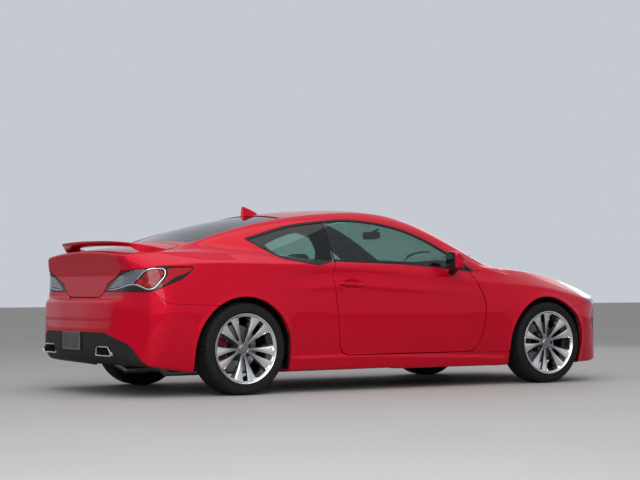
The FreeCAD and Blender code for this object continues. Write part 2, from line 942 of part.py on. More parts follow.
fender = without(
    shell.common(box(fender_rear_x, beyond_x, 0.0, beyond_y, sill_top_z, beyond_z)),
    [hood_hole, windshield_hole, front_zone, headlamp_zone, front_arch, cowl_zone],
)
keep("front_fenders", pair(largest(fender)))
both_front = [headlamp_zone, mirrored(headlamp_zone), front_arch, mirrored(front_arch)]
both_rear = [tail_lamp_zone, mirrored(tail_lamp_zone), rear_arch, mirrored(rear_arch)]
front_bumper = without(shell.common(front_zone), [hood_hole, grille_zone] + both_front)
keep("front_bumper", largest(front_bumper))
rear_bumper = without(shell.common(rear_zone), [lid_hole, diffuser_zone, under_space] + both_rear)
diffuser = without(shell.common(rear_zone).common(diffuser_zone), [under_space] + both_rear)
keep("headlamps", pair(largest(without(shell.common(headlamp_zone), [hood_hole, front_arch]))))
keep("tail_lamps", pair(largest(without(shell.common(tail_lamp_zone), [lid_hole, rear_arch]))))

# Doors
door_inner = lower_body(door_wall)
window_prism = prism(grown(side_window, -glass_gap), "y", cabin_low_y, beyond_y)
glass_start_x = glass_split + glass_gap / 2
glass_front = box(glass_start_x, fender_rear_x, cabin_low_y, beyond_y, 800.0, beyond_z)
glass_band = window_prism.translated(V(0, 0, -glass_sink)).common(
    box(glass_start_x, glass_band_front_x, cabin_low_y, beyond_y, 880.0, 1100.0)
)
door_glass = largest(glass_shell.common(window_prism.common(glass_front).fuse(glass_band)))
door = body_skin.common(tapered_prism(door_outline, sill_inner_y, door_outer_y, door_taper)).cut(door_inner)
pins = []
pockets = []
for height in door_hinge_heights:
    low = height - hinge_pocket_height / 2
    pockets.append(box(
        door_hinge_x - hinge_pocket_rear, door_hinge_x + hinge_pocket_front,
        sill_inner_y - 40, hinge_pocket_y, low, low + hinge_pocket_height
    ))
    pins.append(Part.makeCylinder(
        hinge_pin_radius, hinge_pocket_height, V(door_hinge_x, door_hinge_y, low)
    ))
grip = prism(handle_outline, "y", handle_inner_y, handle_outer_y).cut(
    box(handle_outline[0][0] + handle_end, handle_outline[1][0] - handle_end,
        handle_inner_y, handle_outer_y - handle_thickness, 0.0, beyond_z)
)
door = fused([largest(without(door, pockets + [door_glass]))] + pins)
door = fused([door, grip])
mirror = prism(mirror_outline, "y", mirror_inner_y, mirror_outer_y)
mirror = largest(without(fused([mirror, box(*mirror_foot)]), [door, body_skin]))
for side, shape_of in (("left", lambda s: s), ("right", mirrored)):
    keep("door_" + side, shape_of(door))
    keep("door_glass_" + side, shape_of(door_glass))
    keep("door_mirror_" + side, shape_of(mirror))

# Hood with its hinge pins
hood = largest(shell.common(prism(whole(hood_half), "z", hood_low_z, beyond_z)))
hood_pockets = []
hood_pins = []
hood_arms = []
for middle in (hood_hinge_y, -hood_hinge_y):
    low_y = middle - hood_pocket_width / 2
    hood_pockets.append(box(
        hood_hinge_x - hood_pocket_rear, hood_hinge_x + hood_pocket_front,
        low_y, low_y + hood_pocket_width,
        hood_hinge_z - hood_pocket_depth, hood_hinge_z + hood_eye_radius + hood_pocket_play,
    ))
    hood_pins.append(Part.makeCylinder(
        hood_pin_radius, hood_pocket_width, V(hood_hinge_x, low_y, hood_hinge_z), V(0, 1, 0)
    ))
    start = V(hood_hinge_x, middle - hood_arm_width / 2, hood_hinge_z)
    eye = Part.makeCylinder(hood_eye_radius, hood_arm_width, start, V(0, 1, 0))
    bore = Part.makeCylinder(hood_pin_radius + pin_clearance, hood_arm_width, start, V(0, 1, 0))
    arm = box(
        hood_hinge_x - hood_eye_radius, hood_hinge_x + hood_eye_radius,
        middle - hood_arm_width / 2, middle + hood_arm_width / 2, cowl_shelf_z, hood_hinge_z,
    )
    hood_arms.append(arm.fuse(eye).cut(bore))
keep("hood", fused([largest(without(hood, hood_pockets))] + hood_pins))

# Cowl in front of the windshield, with the arms that carry the hood
cowl = largest(without(shell.common(cowl_zone), [hood_hole, windshield_hole]).common(
    prism(grown(whole(windshield_half), cowl_rim), "z", cowl_shelf_z, beyond_z)
))
sunk_skin = lower_body(cowl_sink).cut(lower_body(cowl_sink + panel_wall))
sunk_cowl = largest(without(sunk_skin.common(cowl_zone), [hood_hole, windshield_hole]))
shelf_half = cowl_half_width - 40
cowl_shelf = box(
    cowl_rear_x, hood_hinge_x + 30, -shelf_half, shelf_half,
    cowl_shelf_z - cowl_shelf_thickness, cowl_shelf_z,
)
cowl_web = box(
    cowl_rear_x, cowl_rear_x + shelf_web, -cowl_web_half_width, cowl_web_half_width,
    cowl_shelf_z, cowl_web_top_z,
)
keep("cowl_panel", fused([cowl, sunk_cowl, cowl_shelf, cowl_web] + hood_arms))

# Trunk lid with its curved necks, and the shelf that carries their pins
lid_zone = prism(whole(trunk_half), "z", lid_low_z, beyond_z).common(
    prism(whole_rear(trunk_rear_half), "x", -beyond_x, lid_zone_x)
)
thin_front = without(
    box(lid_thin_x, lid_zone_x, -lid_thin_half_width, lid_thin_half_width, 800.0, beyond_z),
    [box(lid_thin_x, neck_block_x, y - neck_width, y + neck_width, 800.0, beyond_z)
     for y in (-neck_y, neck_y)],
)
lid = largest(shell.common(lid_zone).cut(lower_body(lid_front_wall).common(thin_front)))
necks = []
for middle in (neck_y, -neck_y):
    pivot = V(trunk_hinge_x, middle - neck_width / 2, trunk_hinge_z)
    inner = neck_radius - neck_thickness / 2
    band = arc_band(
        pivot, inner, inner + neck_thickness, neck_top_angle, neck_low_angle, neck_width
    )
    bar = box(0.0, inner + neck_thickness, 0.0, neck_width, -neck_thickness / 2, neck_thickness / 2)
    bar.rotate(V(0, 0, 0), V(0, -1, 0), neck_low_angle)
    bar.translate(pivot)
    hub = Part.makeCylinder(neck_hub_radius, neck_width, pivot, V(0, 1, 0))
    hole = Part.makeCylinder(neck_pin_radius + pin_clearance, neck_width, pivot, V(0, 1, 0))
    necks.append(fused([band, bar, hub]).cut(hole))
keep("trunk_lid", fused([lid] + necks))
strip = largest(without(shell.common(strip_zone), [rear_window_hole, lid_hole]))
strip_web = box(
    rear_shelf_x, rear_shelf_x + shelf_web, -shelf_half_width, shelf_half_width, shelf_z, beyond_z
).common(outer)
shelf_parts = [
    box(rear_shelf_x, shelf_front_x, -shelf_half_width, shelf_half_width,
        shelf_z, shelf_z + shelf_thickness),
    strip,
    without(strip_web, [rear_window_hole, lid_hole]),
]
for sign in (1, -1):
    edge = sign * shelf_half_width
    inner_y = min(edge, edge - sign * hinge_plate)
    shelf_parts.append(box(
        trunk_hinge_x - 16, trunk_hinge_x + 16, inner_y, inner_y + hinge_plate,
        trunk_hinge_z - 16, shelf_z,
    ))
    pin_length = neck_y + neck_width / 2 - shelf_half_width
    shelf_parts.append(Part.makeCylinder(
        neck_pin_radius, pin_length, V(trunk_hinge_x, edge, trunk_hinge_z), V(0, sign, 0)
    ))
keep("rear_shelf", fused(shelf_parts))

# Rear spoiler
wing_sections = [(-s[0],) + s[1:] for s in reversed(spoiler_sections[1:])] + spoiler_sections
wing_wires = []
for y, front_x, front_z, rear_x, rear_z in wing_sections:
    wing_wires.append(Part.makePolygon([
        V(front_x, y, front_z),
        V(rear_x, y, rear_z),
        V(rear_x, y, rear_z - spoiler_edge),
        V(front_x, y, front_z - spoiler_thickness),
        V(front_x, y, front_z),
    ]))
keep("rear_spoiler", largest(Part.makeLoft(wing_wires, True, True).cut(body_skin)))


def revolved(points, centre):
    """A ring about the Y axis from a closed profile: radius, y, whether the point is an arc's middle."""
    edges = []
    i = 0
    count = len(points)
    while i < count:
        here = V(points[i][0], points[i][1], 0)
        following = points[(i + 1) % count]
        next_point = V(following[0], following[1], 0)
        if following[2]:
            after = points[(i + 2) % count]
            edges.append(Part.Arc(here, next_point, V(after[0], after[1], 0)).toShape())
            i += 2
        else:
            edges.append(Part.LineSegment(here, next_point).toShape())
            i += 1
    ring = Part.Face(Part.Wire(edges)).revolve(V(0, 0, 0), V(0, 1, 0), 360)
    ring.translate(centre)
    return ring


def tyre(radius, width, centre):
    half = width / 2
    bead = half - bead_inset
    shoulder = radius - 24
    bulge = rim_radius + 40
    return revolved([
        (rim_radius, -bead, False),
        (rim_flange_radius, -bead, False),
        (bulge, -half, True),
        (shoulder, -half + 5, False),
        (radius - 6, -half + 14, True),
        (radius, -half + 34, False),
        (radius, half - 34, False),
        (radius - 6, half - 14, True),
        (shoulder, half - 5, False),
        (bulge, half, True),
        (rim_flange_radius, bead, False),
        (rim_radius, bead, False),
    ], centre)


def spoke_section(radius, low_y, high_y, middle):
    """The square outline of a spoke at a distance from the axle."""
    half = spoke_width / 2
    return Part.makePolygon([
        V(radius, low_y, middle - half),
        V(radius, high_y, middle - half),
        V(radius, high_y, middle + half),
        V(radius, low_y, middle + half),
        V(radius, low_y, middle - half),
    ])


def rim(width, centre, turn):
    bead = width / 2 - bead_inset
    edge = bead + rim_flange_width
    inside = rim_radius - rim_wall
    barrel = revolved([
        (rim_radius, -bead, False),
        (rim_radius, bead, False),
        (rim_flange_radius, bead, False),
        (rim_flange_radius, edge, False),
        (inside, edge, False),
        (inside, -edge, False),
        (rim_flange_radius, -edge, False),
        (rim_flange_radius, -bead, False),
    ], V(0, 0, 0))
    hub = Part.makeCylinder(hub_radius, hub_thickness, V(0, hub_offset, 0), V(0, 1, 0))
    face_y = edge - spoke_setback
    pieces = [barrel, hub]
    within = Part.makeCylinder(rim_radius - 2, width, V(0, 0, 0), V(0, 1, 0))
    for k in range(spoke_pairs):
        for side in (-1, 1):
            spoke = Part.makeLoft([
                spoke_section(hub_radius - 18, hub_offset + 4, hub_offset + hub_thickness - 2,
                              side * spoke_root_offset),
                spoke_section(inside + 4, face_y - spoke_depth, face_y, side * spoke_tip_offset),
            ], True, True).common(within)
            spoke.rotate(V(0, 0, 0), V(0, 1, 0), turn + k * 360.0 / spoke_pairs)
            pieces.append(spoke)
    holes = []
    for k in range(lug_count):
        angle = math.radians(turn + (k + 0.5) * 360.0 / lug_count)
        place = V(lug_circle * math.cos(angle), hub_offset - 1, -lug_circle * math.sin(angle))
        holes.append(Part.makeCylinder(lug_radius, hub_thickness + 2, place, V(0, 1, 0)))
    body = without(fused(pieces), holes)
    body.translate(centre)
    return body


def brake_disc(centre):
    low = disc_offset - disc_thickness / 2
    high = disc_offset + disc_thickness / 2
    bore = spindle_radius + pin_clearance
    hat_inside = disc_hat_radius - disc_hat_wall
    return revolved([
        (hat_inside, low, False),
        (disc_radius, low, False),
        (disc_radius, high, False),
        (disc_hat_radius, high, False),
        (disc_hat_radius, hub_offset, False),
        (bore, hub_offset, False),
        (bore, hub_offset - disc_hat_wall, False),
        (hat_inside, hub_offset - disc_hat_wall, False),
    ], centre)


def knuckle(axle_x, wheel_y, wheel_z, steered):
    """Upright with the wheel spindle and the brake caliper on a bracket."""
    top = wheel_z + knuckle_rise
    low = wheel_z - knuckle_drop
    disc_y = wheel_y + disc_offset
    slot_low = disc_y - disc_thickness / 2 - caliper_gap
    slot_high = disc_y + disc_thickness / 2 + caliper_gap
    inner_y = slot_low - caliper_wall
    outer_y = slot_high + caliper_wall
    caliper = box(
        axle_x - caliper_rear, axle_x - caliper_front, inner_y, outer_y,
        wheel_z - caliper_half_height, wheel_z + caliper_half_height,
    )
    slot = Part.makeCylinder(
        disc_radius + caliper_gap, slot_high - slot_low, V(axle_x, slot_low, wheel_z), V(0, 1, 0)
    )
    within = Part.makeCylinder(
        caliper_reach, outer_y - inner_y, V(axle_x, inner_y, wheel_z), V(0, 1, 0)
    )
    shape = fused([
        box(axle_x - knuckle_half_length, axle_x + knuckle_half_length,
            knuckle_y, knuckle_y + knuckle_thickness, low, top),
        bar_between((axle_x, knuckle_y + 10, wheel_z), (axle_x, wheel_y + hub_offset - 2, wheel_z),
                    spindle_radius),
        caliper.cut(slot).common(within),
        box(axle_x - 130, axle_x - 20, knuckle_y + 10, inner_y + 4, wheel_z - 50, wheel_z + 50),
    ])
    if steered:
        bore = kingpin_radius + pin_clearance
        for bore_z in (low, top - kingpin_depth):
            shape = shape.cut(Part.makeCylinder(bore, kingpin_depth, V(axle_x, steering_axis_y, bore_z)))
    return shape


# Wheels, name: axle x, y, tyre radius, tyre width, turn of the spokes
wheel_table = [
    ("front", front_axle_x, front_wheel_y, front_tyre_radius, front_tyre_width, -32.0),
    ("rear", rear_axle_x, rear_wheel_y, rear_tyre_radius, rear_tyre_width, 18.0),
]
for place, axle_x, wheel_y, radius, width, turn in wheel_table:
    centre = V(axle_x, wheel_y, radius)
    pieces = {
        "tyre": tyre(radius, width, centre),
        "wheel_rim": rim(width, centre, turn),
        "brake_disc": brake_disc(centre),
    }
    for name, shape in pieces.items():
        keep(name + "_" + place + "_left", shape)
        keep(name + "_" + place + "_right", mirrored(shape))
front_knuckle = knuckle(front_axle_x, front_wheel_y, front_tyre_radius, True)
keep("front_knuckle_left", front_knuckle)
keep("front_knuckle_right", mirrored(front_knuckle))
keep("rear_knuckles", pair(knuckle(rear_axle_x, rear_wheel_y, rear_tyre_radius, False)))

# Wheel liners, name: axle x, shift, arch radius, inner y, wheel z
rear_z = rear_tyre_radius
liners = []
for axle_x, shift, radius, inner_y in (
    (front_axle_x, front_arch_shift, front_arch_radius, front_well_y),
    (rear_axle_x, rear_arch_shift, rear_arch_radius, rear_well_y),
):
    big = well(axle_x, shift, radius + well_extra, inner_y - liner_wall, well_outer_y)
    small = well(axle_x, shift, radius + well_extra - liner_wall, inner_y, well_outer_y)
    ring = big.cut(small).common(
        box(-beyond_x, beyond_x, 0.0, beyond_y, arch_height - 40, beyond_z)
    )
    shaft_hole = Part.makeCylinder(60.0, 40.0, V(axle_x, inner_y - 20, rear_z), V(0, 1, 0))
    liners.append(ring.cut(shaft_hole))
    liners.append(mirrored(liners[-1]))
keep("wheel_liners", Part.makeCompound(liners))

# Suspension
knuckle_low = front_tyre_radius - knuckle_drop
knuckle_top = front_tyre_radius + knuckle_rise
arm_z = knuckle_low - arm_thickness
front_arm = fused([
    prism([
        (front_axle_x - arm_half_tip, arm_tip_y, 10.0),
        (front_axle_x + arm_half_tip, arm_tip_y, 10.0),
        (front_axle_x + arm_half_root, arm_inner_y, 10.0),
        (front_axle_x - arm_half_root, arm_inner_y, 10.0),
    ], "z", arm_z, knuckle_low - 1),
    Part.makeCylinder(kingpin_radius, kingpin_length, V(front_axle_x, steering_axis_y, knuckle_low - 4)),
])
cross = box(
    front_axle_x - arm_half_root, front_axle_x + arm_half_root,
    -crossmember_half_width, crossmember_half_width,
    arm_z - crossmember_drop, arm_z + crossmember_rise,
)
rail = box(
    firewall_x + floor_thickness, rail_front_x, rail_inner_y, rail_inner_y + rail_width,
    arm_z + crossmember_rise, arm_z + crossmember_rise + rail_height,
)
keep("front_subframe", fused([cross, front_arm, mirrored(front_arm), rail, mirrored(rail)]))
strut_top = arch_height + front_arch_radius + well_extra - liner_wall - 1
spring = Part.makeCylinder(
    spring_radius, spring_length, V(front_axle_x, spring_y, strut_top - spring_length)
)
front_strut = fused([
    Part.makeCylinder(strut_radius, strut_top - knuckle_top - 1, V(front_axle_x, strut_y, knuckle_top + 1)),
    spring.common(box(front_axle_x - spring_seat_half, front_axle_x + spring_seat_half,
                      spring_inner_y, spring_outer_y, 0.0, beyond_z)),
    box(front_axle_x - strut_bracket_half, front_axle_x + strut_bracket_half,
        strut_bracket_inner_y, steering_axis_y + strut_bracket_end,
        knuckle_top + 1, knuckle_top + 1 + strut_bracket_height),
    Part.makeCylinder(kingpin_radius, kingpin_length, V(front_axle_x, steering_axis_y, knuckle_top - 20)),
])
rear_strut = fused([
    bar_between((rear_axle_x, rear_strut_low_y, rear_z + rear_strut_low),
                (rear_axle_x, rear_strut_top_y, rear_strut_top_z), rear_strut_radius),
    box(rear_axle_x - rear_bracket_half, rear_axle_x + rear_bracket_half,
        rear_bracket_inner_y, knuckle_y, rear_z + rear_bracket_low, rear_z + rear_bracket_top),
])
front_strut = largest(front_strut.cut(liners[0]))
rear_strut = largest(rear_strut.cut(liners[2]))
keep("struts", Part.makeCompound([front_strut, mirrored(front_strut), rear_strut, mirrored(rear_strut)]))
rear_arm = prism([
    (rear_axle_x - rear_arm_half_tip, knuckle_y, 10.0),
    (rear_axle_x + rear_arm_half_tip, knuckle_y, 10.0),
    (rear_axle_x + rear_arm_half_root, rear_arm_inner_y, 20.0),
    (rear_axle_x - rear_arm_half_root, rear_arm_inner_y, 20.0),
], "z", rear_z - rear_arm_low, rear_z - rear_arm_top)
half_shaft = bar_between(
    (rear_axle_x, half_shaft_inner_y, rear_z), (rear_axle_x, knuckle_y, rear_z), half_shaft_radius
)
keep("rear_subframe", fused([
    box(rear_axle_x - rear_frame_half_length, rear_axle_x + rear_frame_half_length,
        -rear_frame_half_width, rear_frame_half_width, rear_z - rear_frame_low, rear_z - rear_frame_top),
    rear_arm, mirrored(rear_arm), half_shaft, mirrored(half_shaft),
    box(rear_axle_x - axle_drive_rear, rear_axle_x + axle_drive_front,
        -axle_drive_half_width, axle_drive_half_width, rear_z - axle_drive_low, rear_z + axle_drive_top),
    bar_between((rear_axle_x + prop_shaft_start, 0.0, rear_z),
                (prop_shaft_front_x, 0.0, rear_z - prop_shaft_drop), prop_shaft_radius),
]))

# Floor with its tunnel, boot floor and firewall
tunnel_space = box(
    heel_x - floor_thickness, firewall_x, -tunnel_half, tunnel_half, 0.0, tunnel_top - tunnel_wall
)
tunnel_skin = box(
    heel_x, firewall_x, -tunnel_half - tunnel_wall, tunnel_half + tunnel_wall, floor_bottom_z, tunnel_top
)
jack_pads = [
    box(x - jack_pad_length / 2, x + jack_pad_length / 2,
        y - jack_pad_width / 2, y + jack_pad_width / 2,
        floor_bottom_z - jack_pad_height, floor_bottom_z)
    for x in (jack_pad_x, -jack_pad_x)
    for y in (jack_pad_y, -jack_pad_y)
]
boot_top_z = boot_floor_z + floor_thickness
heel_wall = box(
    heel_x - floor_thickness, heel_x, -rear_floor_half_width, rear_floor_half_width,
    floor_bottom_z, boot_top_z,
)
keep("floor_pan", fused([
    box(heel_x, firewall_x, -sill_inner_y, sill_inner_y, floor_bottom_z, floor_top_z).cut(tunnel_space),
    tunnel_skin.cut(tunnel_space),
    heel_wall.cut(tunnel_space),
    box(boot_rear_x, heel_x, -rear_floor_half_width, rear_floor_half_width, boot_floor_z, boot_top_z),
    box(boot_rear_x, boot_rear_x + floor_thickness, -rear_floor_half_width, rear_floor_half_width,
        boot_floor_z, boot_wall_top_z),
    box(firewall_x, firewall_x + floor_thickness, -firewall_half_width, firewall_half_width,
        floor_bottom_z, cowl_shelf_z - cowl_shelf_thickness),
] + jack_pads))

# Seats
seat_outer_y = seat_inner_y + seat_width
seat = fused([
    prism(seat_cushion, "y", seat_inner_y, seat_outer_y),
    prism(seat_back, "y", seat_inner_y + seat_back_inset, seat_outer_y - seat_back_inset),
    prism(head_rest, "y", seat_inner_y + head_rest_inset, seat_outer_y - head_rest_inset),
    box(seat_foot_rear_x, seat_foot_front_x, seat_inner_y + seat_foot_inset,
        seat_outer_y - seat_foot_inset, floor_top_z, seat_foot_top_z),
])
keep("front_seats", pair(seat))
bench_tunnel = box(
    heel_x, bench_front_x, -tunnel_half - bench_tunnel_gap, tunnel_half + bench_tunnel_gap,
    0.0, tunnel_top + bench_tunnel_gap,
)
bench = box(heel_x, bench_front_x, -bench_half_width, bench_half_width, floor_top_z, bench_top_z)
keep("rear_seat", fused([
    bench.cut(bench_tunnel),
    prism(bench_back, "y", -bench_half_width + 10, bench_half_width - 10),
]))

# Dashboard and steering wheel
dash_half = post_inner_y - dash_end_gap
keep("dashboard", fused([
    prism(dash_outline, "y", -dash_half, dash_half),
    box(console_rear_x, console_front_x, -console_half_width, console_half_width, tunnel_top, console_top_z),
    box(console_riser_x, console_front_x + 20, -console_half_width, console_half_width,
        console_top_z - 20, console_riser_top_z),
    box(firewall_x - dash_foot_depth, firewall_x, -dash_foot_half_width, dash_foot_half_width,
        dash_foot_low_z, dash_foot_top_z),
]))
wheel_centre = V(steering_x, steering_y, steering_z)
wheel_way = V(steering_slope[0], 0, steering_slope[1])
hub_start = wheel_centre - wheel_way * (steering_hub_depth / 2)
bar_step = V(0, steering_radius - 3, 0)
steering = fused([
    Part.makeTorus(steering_radius, steering_rim, wheel_centre, wheel_way),
    Part.makeCylinder(steering_hub_radius, steering_hub_depth, hub_start, wheel_way),
    bar_between(wheel_centre - bar_step, wheel_centre + bar_step, steering_bar_radius),
    bar_between(wheel_centre, wheel_centre - wheel_way * column_length, column_radius),
])
keep("steering_wheel", steering.cut(nodes["dashboard"]))

# Engine on its bearers
keep("engine_block", fused([
    box(engine_rear_x, engine_front_x, -engine_half_width, engine_half_width, engine_low_z, engine_top_z),
    box(bearer_rear_x, bearer_front_x, -bearer_half_width, bearer_half_width,
        arm_z + crossmember_rise + rail_height, bearer_top_z),
]))

# Exhaust with a silencer and an end on each side
exhaust_parts = []
tip_holes = []
for sign in (1, -1):
    tip = [(sign * (tip_y + out), z, r) for out, z, r in tip_outline]
    exhaust_parts.append(fused([
        box(muffler_rear_x, muffler_front_x, sign * tip_y - muffler_half_width,
            sign * tip_y + muffler_half_width, boot_floor_z - muffler_height, boot_floor_z),
        prism(tip, "x", tip_rear_x, tip_front_x).cut(
            prism(grown(tip, -tip_wall), "x", tip_rear_x, muffler_rear_x - 10)
        ),
    ]))
    tip_holes.append(prism(grown(tip, tip_hole_gap), "x", -beyond_x, tip_hole_front_x))
    route = [(x, sign * y, z) for x, y, z in pipe_points]
    for start, end in zip(route[:-1], route[1:]):
        exhaust_parts.append(bar_between(start, end, pipe_radius))
        exhaust_parts.append(Part.makeSphere(pipe_radius, V(*end)))
keep("exhaust", fused(exhaust_parts))

# Number plate in its recess
screw_z = plate_low_z + plate_height / 2
screw_holes = [
    Part.makeCylinder(plate_screw_radius, 60.0, V(plate_face_x - 10, y, screw_z), V(1, 0, 0))
    for y in (-plate_screw_spacing / 2, plate_screw_spacing / 2)
]
recess = box(
    -beyond_x, plate_face_x, -plate_half_width - plate_border, plate_half_width + plate_border,
    plate_low_z - plate_border, plate_low_z + plate_height + plate_border,
)
plate = box(
    plate_face_x - plate_thickness, plate_face_x, -plate_half_width, plate_half_width,
    plate_low_z, plate_low_z + plate_height,
)
keep("number_plate", without(plate, screw_holes))
keep("rear_diffuser", largest(without(diffuser, tip_holes + [recess] + screw_holes)))
keep("rear_bumper", largest(rear_bumper.cut(recess)))

# Antenna fin and the bars of the air intake
fin = prism(fin_outline, "y", -fin_half_width, fin_half_width)
keep("antenna_fin", largest(without(fin, [body_skin, cabin_skin])))
bars = [
    box(grille_bar_rear_x, grille_bar_rear_x + grille_bar_depth,
        -grille_half_width, grille_half_width, z, z + grille_bar_height)
    for z in grille_bar_heights
]
backing = box(
    grille_bar_rear_x - grille_backing, grille_bar_rear_x, -grille_half_width, grille_half_width,
    grille_bar_heights[0] - 10, grille_bar_heights[-1] + 30,
)
keep("grille", largest(fused(bars + [backing]).cut(nodes["front_bumper"])))

os.makedirs("parts", exist_ok=True)
for name, shape in nodes.items():
    if not shape.isValid() or not shape.Solids:
        print("bad shape", name, len(shape.Solids))
    shape.exportStep("parts/" + name + ".step")
volume = sum(shape.Volume for shape in nodes.values()) / 1e9
print(len(nodes), "nodes", round(volume, 4), "cubic metres")
print({name: len(shape.Solids) for name, shape in nodes.items() if len(shape.Solids) != 1})
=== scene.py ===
import bpy
import bmesh
import json
import math
import numpy as np
from mathutils import Matrix, Vector

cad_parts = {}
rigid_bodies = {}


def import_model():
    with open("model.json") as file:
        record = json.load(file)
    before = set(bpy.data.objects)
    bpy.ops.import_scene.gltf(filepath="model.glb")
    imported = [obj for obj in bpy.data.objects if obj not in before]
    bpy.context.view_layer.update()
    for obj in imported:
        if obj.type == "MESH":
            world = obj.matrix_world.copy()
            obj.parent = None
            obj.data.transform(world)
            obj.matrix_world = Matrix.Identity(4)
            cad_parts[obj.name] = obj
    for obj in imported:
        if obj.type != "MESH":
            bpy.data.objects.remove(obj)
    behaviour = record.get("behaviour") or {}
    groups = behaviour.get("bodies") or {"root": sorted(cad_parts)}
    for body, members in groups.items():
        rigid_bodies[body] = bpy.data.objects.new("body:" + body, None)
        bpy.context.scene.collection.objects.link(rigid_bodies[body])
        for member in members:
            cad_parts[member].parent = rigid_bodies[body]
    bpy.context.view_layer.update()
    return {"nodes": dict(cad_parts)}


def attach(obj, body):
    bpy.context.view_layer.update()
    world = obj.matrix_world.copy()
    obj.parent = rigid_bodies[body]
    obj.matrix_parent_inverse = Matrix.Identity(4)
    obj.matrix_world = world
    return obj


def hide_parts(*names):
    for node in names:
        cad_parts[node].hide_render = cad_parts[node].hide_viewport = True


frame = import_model()
nodes = frame["nodes"]
scene = bpy.context.scene
print("frame loaded:", len(nodes), "nodes")

# Main sections of the lower body, tail to nose: x, then y and z of sill, side, crease and crest, then top
lowerSections = np.array([
    (-2.340, 0.770, 0.160, 0.830, 0.560, 0.770, 0.850, 0.640, 0.985, 1.024),
    (-1.900, 0.830, 0.160, 0.905, 0.600, 0.860, 0.930, 0.720, 1.025, 1.080),
    (-1.355, 0.850, 0.160, 0.932, 0.610, 0.890, 0.945, 0.800, 1.015, 1.110),
    (-0.600, 0.850, 0.160, 0.910, 0.590, 0.887, 0.925, 0.845, 0.968, 1.010),
    (0.100, 0.845, 0.160, 0.905, 0.580, 0.884, 0.878, 0.838, 0.946, 0.995),
    (0.800, 0.845, 0.160, 0.908, 0.580, 0.876, 0.812, 0.780, 0.925, 0.998),
    (1.465, 0.845, 0.160, 0.915, 0.590, 0.858, 0.765, 0.680, 0.890, 0.932),
    (1.950, 0.800, 0.160, 0.880, 0.520, 0.815, 0.670, 0.620, 0.785, 0.828),
    (2.340, 0.740, 0.160, 0.800, 0.470, 0.735, 0.580, 0.560, 0.655, 0.690),
])
# Sections of the cabin: x, then y and z of base, rail and edge, then top
cabinSections = np.array([
    (-1.790, 0.690, 0.930, 0.645, 1.005, 0.590, 1.040, 1.076),
    (-1.450, 0.790, 0.930, 0.684, 1.090, 0.600, 1.152, 1.196),
    (-1.000, 0.838, 0.920, 0.678, 1.196, 0.586, 1.264, 1.306),
    (-0.450, 0.850, 0.915, 0.666, 1.262, 0.570, 1.334, 1.373),
    (-0.050, 0.850, 0.915, 0.666, 1.266, 0.566, 1.341, 1.385),
    (0.300, 0.846, 0.900, 0.684, 1.200, 0.590, 1.274, 1.345),
    (0.620, 0.832, 0.880, 0.720, 1.076, 0.642, 1.136, 1.212),
    (0.900, 0.800, 0.860, 0.748, 0.945, 0.690, 0.985, 1.058),
    (1.130, 0.765, 0.840, 0.738, 0.865, 0.700, 0.885, 0.925),
])
